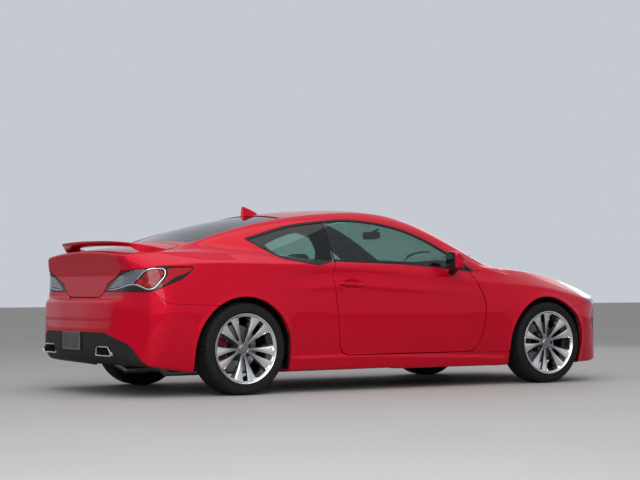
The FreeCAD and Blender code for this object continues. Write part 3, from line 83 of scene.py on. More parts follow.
# Outlines as two coordinates and a corner radius: side views in x z, plans in x y, rear views in y z
outlines = {
    "profile": [(2.230, 0.150, 0.06), (2.315, 0.250, 0.12), (2.315, 0.560, 0.16), (2.160, 0.790, 0.20),
                (1.500, 1.500, 0), (-2.150, 1.500, 0), (-2.232, 1.040, 0.042), (-2.188, 0.860, 0.06),
                (-2.196, 0.700, 0.02), (-2.290, 0.676, 0.024), (-2.315, 0.480, 0.12), (-2.300, 0.300, 0.08),
                (-2.180, 0.225, 0.06), (-1.700, 0.150, 0)],
    "plan": [(-2.315, 0.200, 0.90), (-2.255, 0.610, 0.30), (-2.085, 0.830, 0.21), (-1.900, 0.960, 0),
             (1.820, 0.960, 0), (2.215, 0.640, 0.60), (2.315, 0.200, 1.50)],
    "door": [(-0.553, 0.967, 0.004), (-0.592, 0.860, 0.16), (-0.528, 0.270, 0.09), (0.765, 0.270, 0.13),
             (0.846, 0.640, 0.38), (0.712, 0.905, 0.004), (0.060, 0.948, 2.5)],
    "sideWindow": [(-1.252, 1.128, 0.008), (-0.860, 1.238, 1.5), (-0.300, 1.302, 1.6), (0.270, 1.216, 1.4),
                   (0.790, 0.888, 0.008), (0.060, 0.951, 2.5), (-0.560, 0.969, 0.06), (-0.720, 0.936, 0.16),
                   (-1.010, 0.984, 0.26)],
    "hood": [(1.130, 0.330, 0.70), (1.055, 0.700, 0.03), (1.480, 0.655, 2.5), (1.900, 0.600, 0.60),
             (2.140, 0.430, 0.20)],
    "windshield": [(0.190, 0.545, 0.04), (0.890, 0.690, 0.05), (1.050, 0.300, 0.50)],
    "rearWindow": [(-0.850, 0.556, 0.04), (-1.618, 0.580, 0.06), (-1.690, 0.250, 0.40)],
    "lid": [(-1.728, 0.300, 0.40), (-1.715, 0.565, 0.03), (-1.860, 0.655, 0.16), (-2.060, 0.655, 0.20),
            (-2.400, 0.560, 0)],
    "lidRear": [(0.300, 0.706, 0.165), (0.376, 0.799, 0.05), (0.520, 0.850, 0.26), (0.640, 0.905, 0.06),
                (0.640, 1.200, 0)],
    "grille": [(0.330, 0.560, 0.03), (0.420, 0.470, 0.04), (0.300, 0.300, 0.04)],
    "fog": [(0.500, 0.400, 0.02), (0.575, 0.478, 0.04), (0.815, 0.516, 0.006), (0.800, 0.470, 0.03),
            (0.680, 0.320, 0.05), (0.545, 0.320, 0.04)],
    "lampFront": [(0.350, 0.675, 0.02), (0.430, 0.600, 0.05), (0.600, 0.540, 0), (1.000, 0.540, 0),
                  (1.000, 1.000, 0), (0.560, 1.000, 0), (0.460, 0.790, 0.10)],
    "headlamp": [(1.745, 0.838, 0.01), (1.930, 0.690, 0.12), (2.060, 0.618, 0.06), (2.340, 0.600, 0),
                 (2.340, 0.712, 0), (2.120, 0.770, 0.16), (1.960, 0.830, 0.10)],
    "tailLamp": [(-1.738, 0.915, 0.014), (-1.850, 0.830, 0.20), (-2.085, 0.738, 0.06), (-2.400, 0.750, 0),
                 (-2.400, 0.850, 0), (-2.160, 0.895, 0.16), (-1.980, 0.925, 0.20)],
    "frontBumper": [(1.690, 0.060, 0), (1.690, 0.600, 0.02), (2.000, 0.655, 0), (2.140, 0.760, 0),
                    (2.500, 0.900, 0), (2.500, 0.060, 0)],
    "rearBumper": [(-1.560, 0.060, 0), (-1.560, 0.640, 0.01), (-1.960, 0.655, 0.09), (-2.090, 0.752, 0.06),
                   (-2.500, 0.752, 0), (-2.500, 0.060, 0)],
    "diffuser": [(0.500, 0.452, 0.14), (0.700, 0.380, 0.16), (0.800, 0.230, 0.04), (0.800, 0.060, 0)],
    "tip": [(0.350, 0.290, 0.008), (0.360, 0.354, 0.008), (0.540, 0.354, 0.008), (0.588, 0.318, 0.008),
            (0.582, 0.290, 0.008)],
}
mirroredOutlines = ("plan", "hood", "windshield", "rearWindow", "lid")
rearOutlines = ("lidRear", "grille", "diffuser")


def roundedOutline(points, arcStep=0.08):
    made = []
    count = len(points)
    for i, (u, v, radius) in enumerate(points):
        here = np.array((u, v))
        back = np.array(points[i - 1][:2]) - here
        ahead = np.array(points[(i + 1) % count][:2]) - here
        back /= np.linalg.norm(back)
        ahead /= np.linalg.norm(ahead)
        if radius <= 0:
            made.append(here)
            continue
        half = math.acos(max(-1, min(1, back @ ahead))) / 2
        reach = radius / math.tan(half)
        middle = (back + ahead) / np.linalg.norm(back + ahead)
        centre = here + middle * radius / math.sin(half)
        start = here + back * reach - centre
        end = here + ahead * reach - centre
        turn = math.atan2(start[0] * end[1] - start[1] * end[0], start @ end)
        steps = max(2, int(abs(turn) / arcStep) + 1)
        for k in range(steps + 1):
            angle = turn * k / steps
            made.append(centre + np.array((
                start[0] * math.cos(angle) - start[1] * math.sin(angle),
                start[0] * math.sin(angle) + start[1] * math.cos(angle))))
    return np.array(made)


def mirroredPoints(points, both):
    if both == "second":
        return points + [(u, -v, r) for u, v, r in reversed(points)]
    return points + [(-u, v, r) for u, v, r in reversed(points)]


shapeLines = {}
for name, points in outlines.items():
    if name in mirroredOutlines:
        points = mirroredPoints(points, "second")
    if name in rearOutlines:
        points = mirroredPoints(points, "first")
    shapeLines[name] = roundedOutline(points)


view = {"place": (-7.296, -11.219, 0.750), "yaw": 32.514, "pitch": 1.734, "roll": -0.141, "lens": 93.39,
        "sensor": 36.0, "wide": 640, "high": 480}
# Outlines of small parts as they stand in the view, across and down in pixels
seenOutlines = {
    "clearPart": [(108.8, 288.8), (112.6, 283.7), (118.4, 277.3), (127.0, 272.2), (136.5, 269.5),
        (146.1, 268.5), (141.3, 274.1), (135.0, 281.2), (133.7, 283.8), (123.1, 286.1)],
    "redPart": [(135.0, 284.2), (144.2, 274.1), (149.9, 270.6), (161.4, 270.1), (164.3, 272.8),
        (159.1, 280.8), (153.4, 286.5), (148.4, 288.2), (142.3, 286.0)],
    "outerPart": [(168.3, 274.1), (167.1, 268.9), (174.8, 268.0), (192.0, 267.6), (191.6, 270.3),
        (182.4, 274.7), (174.8, 277.3), (167.1, 283.1), (161.0, 286.5), (157.6, 287.3), (164.3, 280.8)],
    "hook": [(108.2, 289.8), (123.1, 287.1), (135.0, 284.8), (142.3, 287.3), (148.4, 289.4),
        (154.1, 287.9), (159.9, 282.1), (165.4, 273.1), (164.5, 269.7), (159.5, 268.7), (149.5, 269.1),
        (143.4, 272.2), (137.3, 279.3)],
    "quarterClear": [(263.9, 244.8), (278.1, 237.7), (289.6, 233.7), (297.2, 232.6), (306.8, 234.9),
        (312.2, 243.5), (315.2, 251.1), (314.8, 260.1), (301.4, 260.9), (280.0, 255.9), (268.5, 249.6)],
}


def viewAxes():
    yaw, pitch, roll = (math.radians(view[k]) for k in ("yaw", "pitch", "roll"))
    ahead = np.array((math.cos(pitch) * math.sin(yaw), math.cos(pitch) * math.cos(yaw), math.sin(pitch)))
    across = np.array((math.cos(yaw), -math.sin(yaw), 0))
    up = np.cross(across, ahead)
    return ahead, across * math.cos(roll) + up * math.sin(roll), up * math.cos(roll) - across * math.sin(roll)


def seenWithin(name, points, width=None):   # how far inside an outline of the view, or near its stroke
    ahead, right, top = viewAxes()
    away = points * np.array((1, -1, 1)) - np.array(view["place"])
    deep = away @ ahead
    scale = view["lens"] / view["sensor"] * view["wide"] / deep
    u = view["wide"] / 2 + (away @ right) * scale
    v = view["high"] / 2 - (away @ top) * scale
    line = np.array(seenOutlines[name])
    if width is None:
        return insideDistance(line, u, v) / scale
    stroke = np.concatenate([line, line[-2:0:-1]])
    return width / 2 - abs(insideDistance(stroke, u, v)) / scale


def insideDistance(line, u, v):   # how far inside a closed line, negative outside
    best = np.full(u.shape, 1e9)
    inside = np.zeros(u.shape, bool)
    following = np.roll(line, -1, axis=0)
    for (u0, v0), (u1, v1) in zip(line, following):
        du, dv = u1 - u0, v1 - v0
        length = du * du + dv * dv
        if length < 1e-14:
            continue
        share = np.clip(((u - u0) * du + (v - v0) * dv) / length, 0, 1)
        best = np.minimum(best, (u - u0 - share * du) ** 2 + (v - v0 - share * dv) ** 2)
        if v0 != v1:
            inside ^= ((v0 > v) != (v1 > v)) & (u < du * (v - v0) / dv + u0)
    return np.where(inside, 1, -1) * np.sqrt(best)


def within(name, u, v, margin=0.12):   # the same, worked out only near the line
    line = shapeLines[name]
    low, high = line.min(0) - margin, line.max(0) + margin
    near = (u > low[0]) & (u < high[0]) & (v > low[1]) & (v < high[1])
    result = np.full(u.shape, -margin)
    result[near] = insideDistance(line, u[near], v[near])
    return result


class DistanceMap:   # a line's distances on a fine grid, for quick reading
    def __init__(self, name, step=0.004):
        line = shapeLines[name]
        self.low = line.min(0) - 0.3
        high = line.max(0) + 0.3
        self.step = step
        counts = ((high - self.low) / step).astype(int) + 2
        u, v = np.meshgrid(self.low[0] + step * np.arange(counts[0]),
                           self.low[1] + step * np.arange(counts[1]), indexing="ij")
        self.values = insideDistance(line, u, v)

    def read(self, u, v):
        return readTable(self.values, (u - self.low[0]) / self.step, (v - self.low[1]) / self.step)


def readTable(table, u, v):
    u = np.clip(u, 0, table.shape[0] - 1.001)
    v = np.clip(v, 0, table.shape[1] - 1.001)
    i, j = u.astype(int), v.astype(int)
    fu, fv = u - i, v - j
    return ((table[i, j] * (1 - fu) + table[i + 1, j] * fu) * (1 - fv)
            + (table[i, j + 1] * (1 - fu) + table[i + 1, j + 1] * fu) * fv)


def smoothCurve(xs, ys, at):   # natural cubic curve with straight ends
    n = len(xs)
    h = np.diff(xs)
    system = np.eye(n)
    right = np.zeros((n,) + ys.shape[1:])
    for i in range(1, n - 1):
        system[i, i - 1:i + 2] = h[i - 1], 2 * (h[i - 1] + h[i]), h[i]
        right[i] = 6 * ((ys[i + 1] - ys[i]) / h[i] - (ys[i] - ys[i - 1]) / h[i - 1])
    bend = np.linalg.solve(system, right)
    clamped = np.clip(at, xs[0], xs[-1])
    k = np.clip(np.searchsorted(xs, clamped) - 1, 0, n - 2)
    a = ((xs[k + 1] - clamped) / h[k])[:, None]
    b = ((clamped - xs[k]) / h[k])[:, None]
    hk = h[k][:, None]
    value = (a * ys[k] + b * ys[k + 1]
             + ((a ** 3 - a) * bend[k] + (b ** 3 - b) * bend[k + 1]) * hk ** 2 / 6)
    startSlope = (ys[1] - ys[0]) / h[0] - h[0] * bend[1] / 6
    endSlope = (ys[-1] - ys[-2]) / h[-1] + h[-1] * bend[-2] / 6
    value += np.minimum(at - xs[0], 0)[:, None] * startSlope
    value += np.maximum(at - xs[-1], 0)[:, None] * endSlope
    return value


def fullTurn(count):
    return np.linspace(0, 2 * math.pi, count, endpoint=False)


def linked(name, data):
    thing = bpy.data.objects.new(name, data)
    scene.collection.objects.link(thing)
    return thing


tableMaker = {"xStart": -2.40, "xStep": 0.006, "xCount": 801, "angleCount": 721, "centreZ": 0.62,
              "soften": 1.2}


def bulgedRun(start, bulge, end, steps=18):
    t = np.linspace(0, 1, steps)[:, None]
    chord = end - start
    out = np.array((chord[1], -chord[0])) / np.linalg.norm(chord)
    return start + chord * t + out * bulge * 4 * t * (1 - t)


def topArc(edge, top, steps=40):
    rise = max(1e-4, top - edge[1])
    radius = (edge[0] ** 2 + rise ** 2) / (2 * rise)
    y = np.linspace(edge[0], 0, steps)
    return np.stack([y, top - radius + np.sqrt(radius ** 2 - y ** 2)], 1)


def radiusTable(sections, bulges, isCabin):
    m = tableMaker
    xs = m["xStart"] + m["xStep"] * np.arange(m["xCount"])
    rows = smoothCurve(sections[:, 0], sections[:, 1:], xs)
    angles = np.linspace(-math.pi / 2, math.pi / 2, m["angleCount"])
    table = np.empty((m["xCount"], m["angleCount"]))
    for i, row in enumerate(rows):
        corners = row[:-1].reshape(-1, 2)
        runs = [np.stack([np.linspace(0, 1, 40) * corners[0, 0] * 0.999,
                          np.full(40, 0.3 if isCabin else corners[0, 1])], 1)]
        if isCabin:
            runs[0] *= np.array((0.8, 1))
        for k, bulge in enumerate(bulges):
            runs.append(bulgedRun(corners[k], bulge, corners[k + 1]))
        runs.append(topArc(corners[-1], row[-1]))
        line = np.concatenate(runs)
        dz = line[:, 1] - m["centreZ"]
        angle = np.arctan2(dz, line[:, 0])
        angle[0] = -math.pi / 2
        order = np.argsort(angle, kind="stable")
        table[i] = np.interp(angles, angle[order], np.hypot(line[:, 0], dz)[order])
    reach = int(m["soften"] * 3)
    weights = np.exp(-0.5 * (np.arange(-reach, reach + 1) / m["soften"]) ** 2)
    weights /= weights.sum()
    padded = np.pad(table, ((0, 0), (reach, reach)), mode="edge")
    return sum(w * padded[:, k:k + m["angleCount"]] for k, w in enumerate(weights))


lowerTable = radiusTable(lowerSections, (0.016, 0.004, 0.003), False)
cabinTable = radiusTable(cabinSections, (0.014, 0.007), True)
profileMap = DistanceMap("profile")
planMap = DistanceMap("plan")

arches = {"front": {"x": 1.450, "radius": 0.380}, "rear": {"x": -1.367, "radius": 0.390}, "height": 0.316}


def archInside(which, x, z):   # how far inside a wheel arch's outline
    arch = arches[which]
    away = np.where(z > arches["height"], np.hypot(x - arch["x"], z - arches["height"]), abs(x - arch["x"]))
    return arch["radius"] - away


def smoothMax(a, b, width):
    h = np.maximum(width - abs(a - b), 0) / width
    return np.maximum(a, b) + h * h * width / 4


def ramp(value, low, high):
    t = np.clip((value - low) / (high - low), 0, 1)
    return t * t * (3 - 2 * t)


relief = {   # lines along the side as x and z, how far they stand out and how wide they run
    "handleLine": [(-1.20, 0.745), (-0.978, 0.760), (-0.587, 0.781), (-0.319, 0.786), (0.002, 0.766),
                   (0.379, 0.742), (0.70, 0.720), (1.00, 0.690)],
    "handleRise": 0.0075, "handleWide": 0.040,
    "valleyDepth": 0.009, "valleyWide": 0.05,
    "sillLine": [(-1.0, 0.262), (-0.703, 0.262), (-0.366, 0.266), (0.186, 0.249), (0.766, 0.232),
                 (1.1, 0.215)],
    "sillStep": 0.024, "sillWide": 0.013,
    "lipRise": 0.010, "lipWide": 0.022, "flareRise": 0.011, "flareWide": 0.10,
    "dish": (-0.425, 0.796), "dishSize": (0.078, 0.030), "dishDepth": 0.021,
    "ledgeZ": 0.552, "ledgeStep": 0.010,
}


def sideRelief(x, y, z):
    r = relief
    weight = ramp(y, 0.62, 0.78)
    line = np.interp(x, *zip(*r["handleLine"]))
    span = ramp(x, -1.15, -0.75) * (1 - ramp(x, 0.45, 1.0))
    out = span * r["handleRise"] * np.exp(-np.sqrt((z - line) ** 2 + 2.5e-5) / r["handleWide"])
    valley = line + 0.075
    out -= span * r["valleyDepth"] * np.exp(-((z - valley) / r["valleyWide"]) ** 2)
    sill = np.interp(x, *zip(*r["sillLine"]))
    between = ramp(x, -1.02, -0.86) * (1 - ramp(x, 0.96, 1.08))
    out += between * r["sillStep"] * (1 - ramp(z, sill - r["sillWide"], sill + r["sillWide"]))
    for which in ("front", "rear"):
        away = archInside(which, x, z)
        out += r["lipRise"] * np.exp(-(away / r["lipWide"]) ** 2)
        out += r["flareRise"] * np.exp(-(away / r["flareWide"]) ** 2)
    dish = ((x - r["dish"][0]) / r["dishSize"][0]) ** 2 + ((z - r["dish"][1]) / r["dishSize"][1]) ** 2
    out -= r["dishDepth"] * np.exp(-dish ** 2)
    return out * weight


def skinField(p):   # below zero inside the car's outer skin
    x, y, z = p[..., 0], abs(p[..., 1]), p[..., 2]
    m = tableMaker
    dz = z - m["centreZ"]
    u = (x - m["xStart"]) / m["xStep"]
    v = (np.arctan2(dz, y) / math.pi + 0.5) * (m["angleCount"] - 1)
    away = np.hypot(y, dz)
    lower = away - readTable(lowerTable, u, v) - sideRelief(x, y, z)
    ends = cabinSections[0, 0], cabinSections[-1, 0]
    cabinU = (np.clip(x, *ends) - m["xStart"]) / m["xStep"]
    beyond = np.maximum(ends[0] - x, 0) + np.maximum(x - ends[1], 0)
    cabin = away - readTable(cabinTable, cabinU, v) + beyond
    soft = 0.012 + 0.06 * (1 - ramp(x, -1.25, -0.75)) + 0.05 * ramp(x, 0.75, 1.0)
    body = -smoothMax(-lower, -cabin, soft)
    ledge = relief["ledgeStep"] * (1 - ramp(z, relief["ledgeZ"] - 0.014, relief["ledgeZ"])) * (x < 0)
    body = smoothMax(body, ledge - profileMap.read(x, z), 0.022)
    return smoothMax(body, -planMap.read(x, y), 0.05)


skin = {"rearEnd": -1.80, "frontEnd": 1.75, "axisZ": 0.39, "step": 0.014,
        "rearTilts": [(0, 0), (20, 16), (40, 58), (90, 98)], "frontTilts": [(0, 0), (90, 78)],
        "turns": [(-90, 0), (-20, 48), (12, 98), (45, 180), (90, 254)]}


def fieldNormals(p, step=0.004):
    slopes = []
    for k in range(3):
        move = np.zeros(3)
        move[k] = step
        slopes.append(skinField(p + move) - skinField(p - move))
    n = np.stack(slopes, -1)
    return n / np.maximum(np.linalg.norm(n, axis=-1, keepdims=True), 1e-9)


def spacedAngles(knots):   # angles between knots of degrees and row number
    return np.radians(np.interp(np.arange(knots[-1][1] + 1), [k[1] for k in knots], [k[0] for k in knots]))


def castSkin():
    s = skin
    rearTilts, frontTilts, turns = (spacedAngles(s[key]) for key in ("rearTilts", "frontTilts", "turns"))
    straight = np.arange(s["rearEnd"], s["frontEnd"] + 1e-6, s["step"])
    startX = np.concatenate([np.full(len(rearTilts) - 1, s["rearEnd"]), straight,
                             np.full(len(frontTilts) - 1, straight[-1])])
    tilts = np.concatenate([-rearTilts[:0:-1], np.zeros(len(straight)), frontTilts[1:]])
    direction = np.stack([
        np.repeat(np.sin(tilts)[:, None], len(turns), 1),
        np.cos(tilts)[:, None] * np.cos(turns)[None, :],
        np.cos(tilts)[:, None] * np.sin(turns)[None, :]], -1)
    origin = np.zeros_like(direction)
    origin[..., 0] = startX[:, None]
    origin[..., 2] = s["axisZ"]
    low = np.full(direction.shape[:2], 0.02)
    high = np.full(direction.shape[:2], 1.4)
    for _ in range(20):
        middle = (low + high) / 2
        inside = skinField(origin + direction * middle[..., None]) < 0
        low = np.where(inside, middle, low)
        high = np.where(inside, high, middle)
    points = origin + direction * high[..., None]
    points[:, 0, 1] = 0
    points[:, -1, 1] = 0
    return points, fieldNormals(points)


skinPoints, skinNormals = castSkin()
gx, gy, gz = skinPoints[..., 0], skinPoints[..., 1], skinPoints[..., 2]
print("outer skin cast:", skinPoints.shape)


def cutGrid(points, normals, field):   # what lies inside a field, cut exactly along its edge
    keep = field > 0
    index = np.full(field.shape, -1)
    index[keep] = np.arange(keep.sum())
    verts, norms = [points[keep]], [normals[keep]]
    total = int(keep.sum())
    tables = []
    for a, b in (((slice(0, -1), slice(None)), (slice(1, None), slice(None))),
                 ((slice(None), slice(0, -1)), (slice(None), slice(1, None)))):
        change = keep[a] != keep[b]
        share = np.clip(field[a][change] / (field[a][change] - field[b][change]), 0.02, 0.98)[:, None]
        verts.append(points[a][change] * (1 - share) + points[b][change] * share)
        norms.append(normals[a][change] * (1 - share) + normals[b][change] * share)
        table = np.full(change.shape, -1)
        table[change] = total + np.arange(int(change.sum()))
        total += int(change.sum())
        tables.append(table)
    full = keep[:-1, :-1] & keep[1:, :-1] & keep[1:, 1:] & keep[:-1, 1:]
    faces = np.stack([corner[full] for corner in (
        index[:-1, :-1], index[1:, :-1], index[1:, 1:], index[:-1, 1:])], 1).tolist()
    part = (keep[:-1, :-1] | keep[1:, :-1] | keep[1:, 1:] | keep[:-1, 1:]) & ~full
    for i, j in np.argwhere(part):
        corners = ((i, j), (i + 1, j), (i + 1, j + 1), (i, j + 1))
        cuts = (tables[0][i, j], tables[1][i + 1, j], tables[0][i, j + 1], tables[1][i, j])
        face = []
        for k in range(4):
            here, following = corners[k], corners[(k + 1) % 4]
            if keep[here]:
                face.append(int(index[here]))
            if keep[here] != keep[following]:
                face.append(int(cuts[k]))
        if len(face) > 2:
            faces.append(face)
    verts, norms = np.concatenate(verts), np.concatenate(norms)
    norms /= np.maximum(np.linalg.norm(norms, axis=1, keepdims=True), 1e-9)
    return facingOut(verts, norms, faces)


def facingOut(verts, norms, faces):
    vote = 0
    for face in faces[::max(1, len(faces) // 50)]:
        a, b, c = verts[face[0]], verts[face[1]], verts[face[2]]
        vote += np.sign(np.cross(b - a, c - a) @ norms[face[0]])
    if vote < 0:
        faces = [face[::-1] for face in faces]
    return verts, norms, faces


def tidyFaces(verts, norms, faces):   # welds doubled points and drops collapsed faces
    keys = np.round(verts, 6)
    _, first, inverse = np.unique(keys, axis=0, return_index=True, return_inverse=True)
    inverse = inverse.ravel()
    made = []
    for face in faces:
        ring = []
        for k in face:
            k = int(inverse[k])
            if not ring or ring[-1] != k:
                ring.append(k)
        if len(ring) > 1 and ring[0] == ring[-1]:
            ring.pop()
        if len(ring) > 2 and len(set(ring)) == len(ring):
            made.append(ring)
    return verts[first], norms[first], made


flip = np.array((1.0, -1.0, 1.0))


def mirrorPart(part):
    verts, norms, faces = part
    return verts * flip, norms * flip, [face[::-1] for face in faces]


def joined(parts):
    verts, norms, faces, total = [], [], [], 0
    for v, n, f in parts:
        verts.append(v)
        norms.append(n)
        faces += [[k + total for k in face] for face in f]
        total += len(v)
    return np.concatenate(verts), np.concatenate(norms), faces


def openEdges(faces):
    ways = set()
    for face in faces:
        for k, a in enumerate(face):
            ways.add((a, face[(k + 1) % len(face)]))
    return [way for way in ways if (way[1], way[0]) not in ways]


def withHem(part, profile):   # the edge rolled over through steps of outwards and inwards
    verts, norms, faces = part
    edges = openEdges(faces)
    if not edges:
        return part
    out = np.zeros_like(verts)
    for a, b in edges:
        way = np.cross(verts[b] - verts[a], norms[a] + norms[b])
        length = np.linalg.norm(way)
        if length > 1e-12:
            out[a] += way / length
            out[b] += way / length
    rim = sorted({k for edge in edges for k in edge})
    place = {k: i for i, k in enumerate(rim)}
    o = out[rim]
    n = norms[rim]
    o -= n * (o * n).sum(1, keepdims=True)
    o /= np.maximum(np.linalg.norm(o, axis=1, keepdims=True), 1e-9)
    newVerts, newNorms = [verts], [norms]
    rings = [dict((k, k) for k in rim)]
    total = len(verts)
    for outwards, down, lean in profile:
        newVerts.append(verts[rim] + o * outwards - n * down)
        tilt = n * math.cos(lean) + o * math.sin(lean)
        newNorms.append(tilt)
        rings.append({k: total + place[k] for k in rim})
        total += len(rim)
    faces = list(faces)
    for inner, outer in zip(rings[:-1], rings[1:]):
        for a, b in edges:
            faces.append([inner[b], inner[a], outer[a], outer[b]])
    return np.concatenate(newVerts), np.concatenate(newNorms), faces


def rolledEdge(radius, flange):
    steps = [(radius * math.sin(a), radius * (1 - math.cos(a)), a) for a in (0.5, 1.05, math.pi / 2)]
    return steps + [(radius, flange, math.pi / 2)]


def makeObject(name, part, materials, slots=None, attribute=None):
    verts, norms, faces = part
    mesh = bpy.data.meshes.new(name)
    mesh.from_pydata(verts.tolist(), [], faces)
    mesh.update()
    for material in materials:
        mesh.materials.append(material)
    if slots is not None:
        mesh.polygons.foreach_set("material_index", np.array(slots, np.int32))
    mesh.polygons.foreach_set("use_smooth", np.ones(len(mesh.polygons), bool))
    if norms is not None:
        mesh.normals_split_custom_set_from_vertices(norms.tolist())
    for key, values in (attribute or {}).items():
        layer = mesh.attributes.new(key, "FLOAT", "POINT")
        layer.data.foreach_set("value", np.asarray(values, np.float32))
    return linked(name, mesh)


sideView, planView, rearView = (gx, gz), (gx, gy), (gy, gz)
# Where each panel lies on the left half of the skin: its outlines, then where x, y and z start and end
zoneRules = {
    "door": ({"door": sideView}, {"y": (0.60, None)}),
    "window": ({"sideWindow": sideView}, {"y": (0.45, None)}),
    "windshield": ({"windshield": planView}, {"z": (0.85, None)}),
    "rearWindow": ({"rearWindow": planView}, {"z": (0.95, None)}),
    "roof": ({}, {"x": (-0.850, 0.205), "y": (None, 0.575), "z": (1.10, None)}),
    "hood": ({"hood": planView}, {"z": (0.62, None)}),
    "lid": ({"lid": planView, "lidRear": rearView}, {"x": (None, -1.5), "z": (0.65, None)}),
    "front": ({"frontBumper": sideView}, {}),
    "rear": ({"rearBumper": sideView}, {}),
    "headlamp": ({"headlamp": sideView, "lampFront": rearView}, {}),
    "tailLamp": ({"tailLamp": sideView}, {"y": (0.330, None)}),
    "diffuser": ({"diffuser": rearView}, {"x": (None, -1.9)}),
    "grille": ({"grille": rearView}, {"x": (2.1, None)}),
    "fog": ({"fog": rearView}, {"x": (1.9, None)}),
    "cowl": ({}, {"x": (0.90, 1.18), "y": (None, 0.70), "z": (0.85, None)}),
}
fenderZone = {"rear": 0.856, "belowBelt": 0.700, "beltZ": 0.900, "low": 0.262}
wellDepths = {"front": 0.485, "rear": 0.560}
seams = {"hem": 0.0025, "flange": 0.016, "fixedGap": 0.002, "doorGap": 0.0055, "doorFront": 0.003,
         "hoodGap": 0.007, "lidGap": 0.006, "glassGap": 0.004, "diffuserGap": 0.0015, "tipGap": 0.004}
openBelow = {"bodyZ": 0.25, "bodyY": 0.742, "tailZ": 0.20, "tailX": -2.19, "tailY": 0.70}


def zoneField(bounds, limits):   # how far inside its edge, over the whole grid
    fields = [within(name, *plane) for name, plane in bounds.items()]
    for axis, (low, high) in limits.items():
        value = skinPoints[..., "xyz".index(axis)]
        if low is not None:
            fields.append(value - low)
        if high is not None:
            fields.append(high - value)
    return np.minimum.reduce(fields)


z = {name: zoneField(*rule) for name, rule in zoneRules.items()}
z["fender"] = np.minimum(np.maximum(gx - fenderZone["rear"],
                                    np.minimum(gx - fenderZone["belowBelt"], fenderZone["beltZ"] - gz)),
                         gz - fenderZone["low"])
doorHole = z["door"] + seams["doorGap"] + seams["doorFront"] * ramp(gx, 0.60, 0.72)
hoodHole = z["hood"] + seams["hoodGap"]
lidHole = z["lid"] + seams["lidGap"]
archHoles = np.maximum.reduce([np.minimum(archInside(which, gx, gz), gy - depth)
                               for which, depth in wellDepths.items()])
lampHoles = np.maximum(z["headlamp"], z["tailLamp"]) + seams["fixedGap"]
grown = {name: -z[name] - seams["fixedGap"] for name in ("fender", "window", "roof", "rear", "front")}
tailBelow = np.maximum(gz - openBelow["tailZ"], openBelow["tailX"] - gx)
panelFields = {name: z[name] for name in ("roof", "door", "hood", "lid")}
panelFields["body"] = np.minimum.reduce([
    *grown.values(), -doorHole, -hoodHole, -lidHole, -archHoles, -lampHoles, -z["cowl"],
    -z["windshield"] - seams["glassGap"], -z["rearWindow"] - seams["glassGap"],
    np.maximum(gz - openBelow["bodyZ"], gy - openBelow["bodyY"])])
panelFields["fender"] = np.minimum.reduce([
    z["fender"], -doorHole, -hoodHole, -z["windshield"] - seams["glassGap"], grown["front"],
    -lampHoles, -archHoles, -z["cowl"]])
panelFields["frontBumper"] = np.minimum.reduce([
    z["front"], -hoodHole, -z["grille"], -z["fog"], -lampHoles, -archHoles])
panelFields["rearBumper"] = np.minimum.reduce([
    z["rear"], -lidHole, -z["diffuser"] - seams["diffuserGap"], -lampHoles, -archHoles,
    np.maximum(tailBelow, gy - openBelow["tailY"])])
panelFields["diffuser"] = np.minimum.reduce([
    z["rear"], z["diffuser"], -archHoles, tailBelow, -within("tip", gy, gz) - seams["tipGap"]])


class Wire:   # a node's socket that takes part in sums
    def __init__(self, tree, socket):
        self.tree = tree
        self.socket = socket

    def out(self, name):   # another output of the same node
        return Wire(self.tree, self.socket.node.outputs[name])

    def sum(self, operation, *others):
        return self.tree.maths(operation, self, *others)

    def __add__(self, other):
        return self.sum("ADD", other)

    def __sub__(self, other):
        return self.sum("SUBTRACT", other)

    def __mul__(self, other):
        return self.sum("MULTIPLY", other)

    def __abs__(self):
        return self.sum("ABSOLUTE")

    def __rsub__(self, other):
        return self.tree.maths("SUBTRACT", other, self)

    __radd__ = __add__
    __rmul__ = __mul__


class Tree:   # the nodes of a finish, of the sky or of a shape
    def __init__(self, tree):
        self.tree = tree
        tree.nodes.clear()

    def put(self, slot, value):
        if isinstance(value, Wire):
            self.tree.links.new(value.socket, slot)
        elif isinstance(value, str):
            slot.default_value = colours[value]
        else:
            slot.default_value = value

    def node(self, kind, settings=None, sockets=None, output=0):
        made = self.tree.nodes.new(kind)
        for key, value in (settings or {}).items():
            setattr(made, key, value)
        for key, value in (sockets or {}).items():
            self.put(made.inputs[key], value)
        return Wire(self, made.outputs[output]) if made.outputs else None

    def maths(self, operation, *values):
        return self.node("ShaderNodeMath", {"operation": operation}, dict(enumerate(values)))


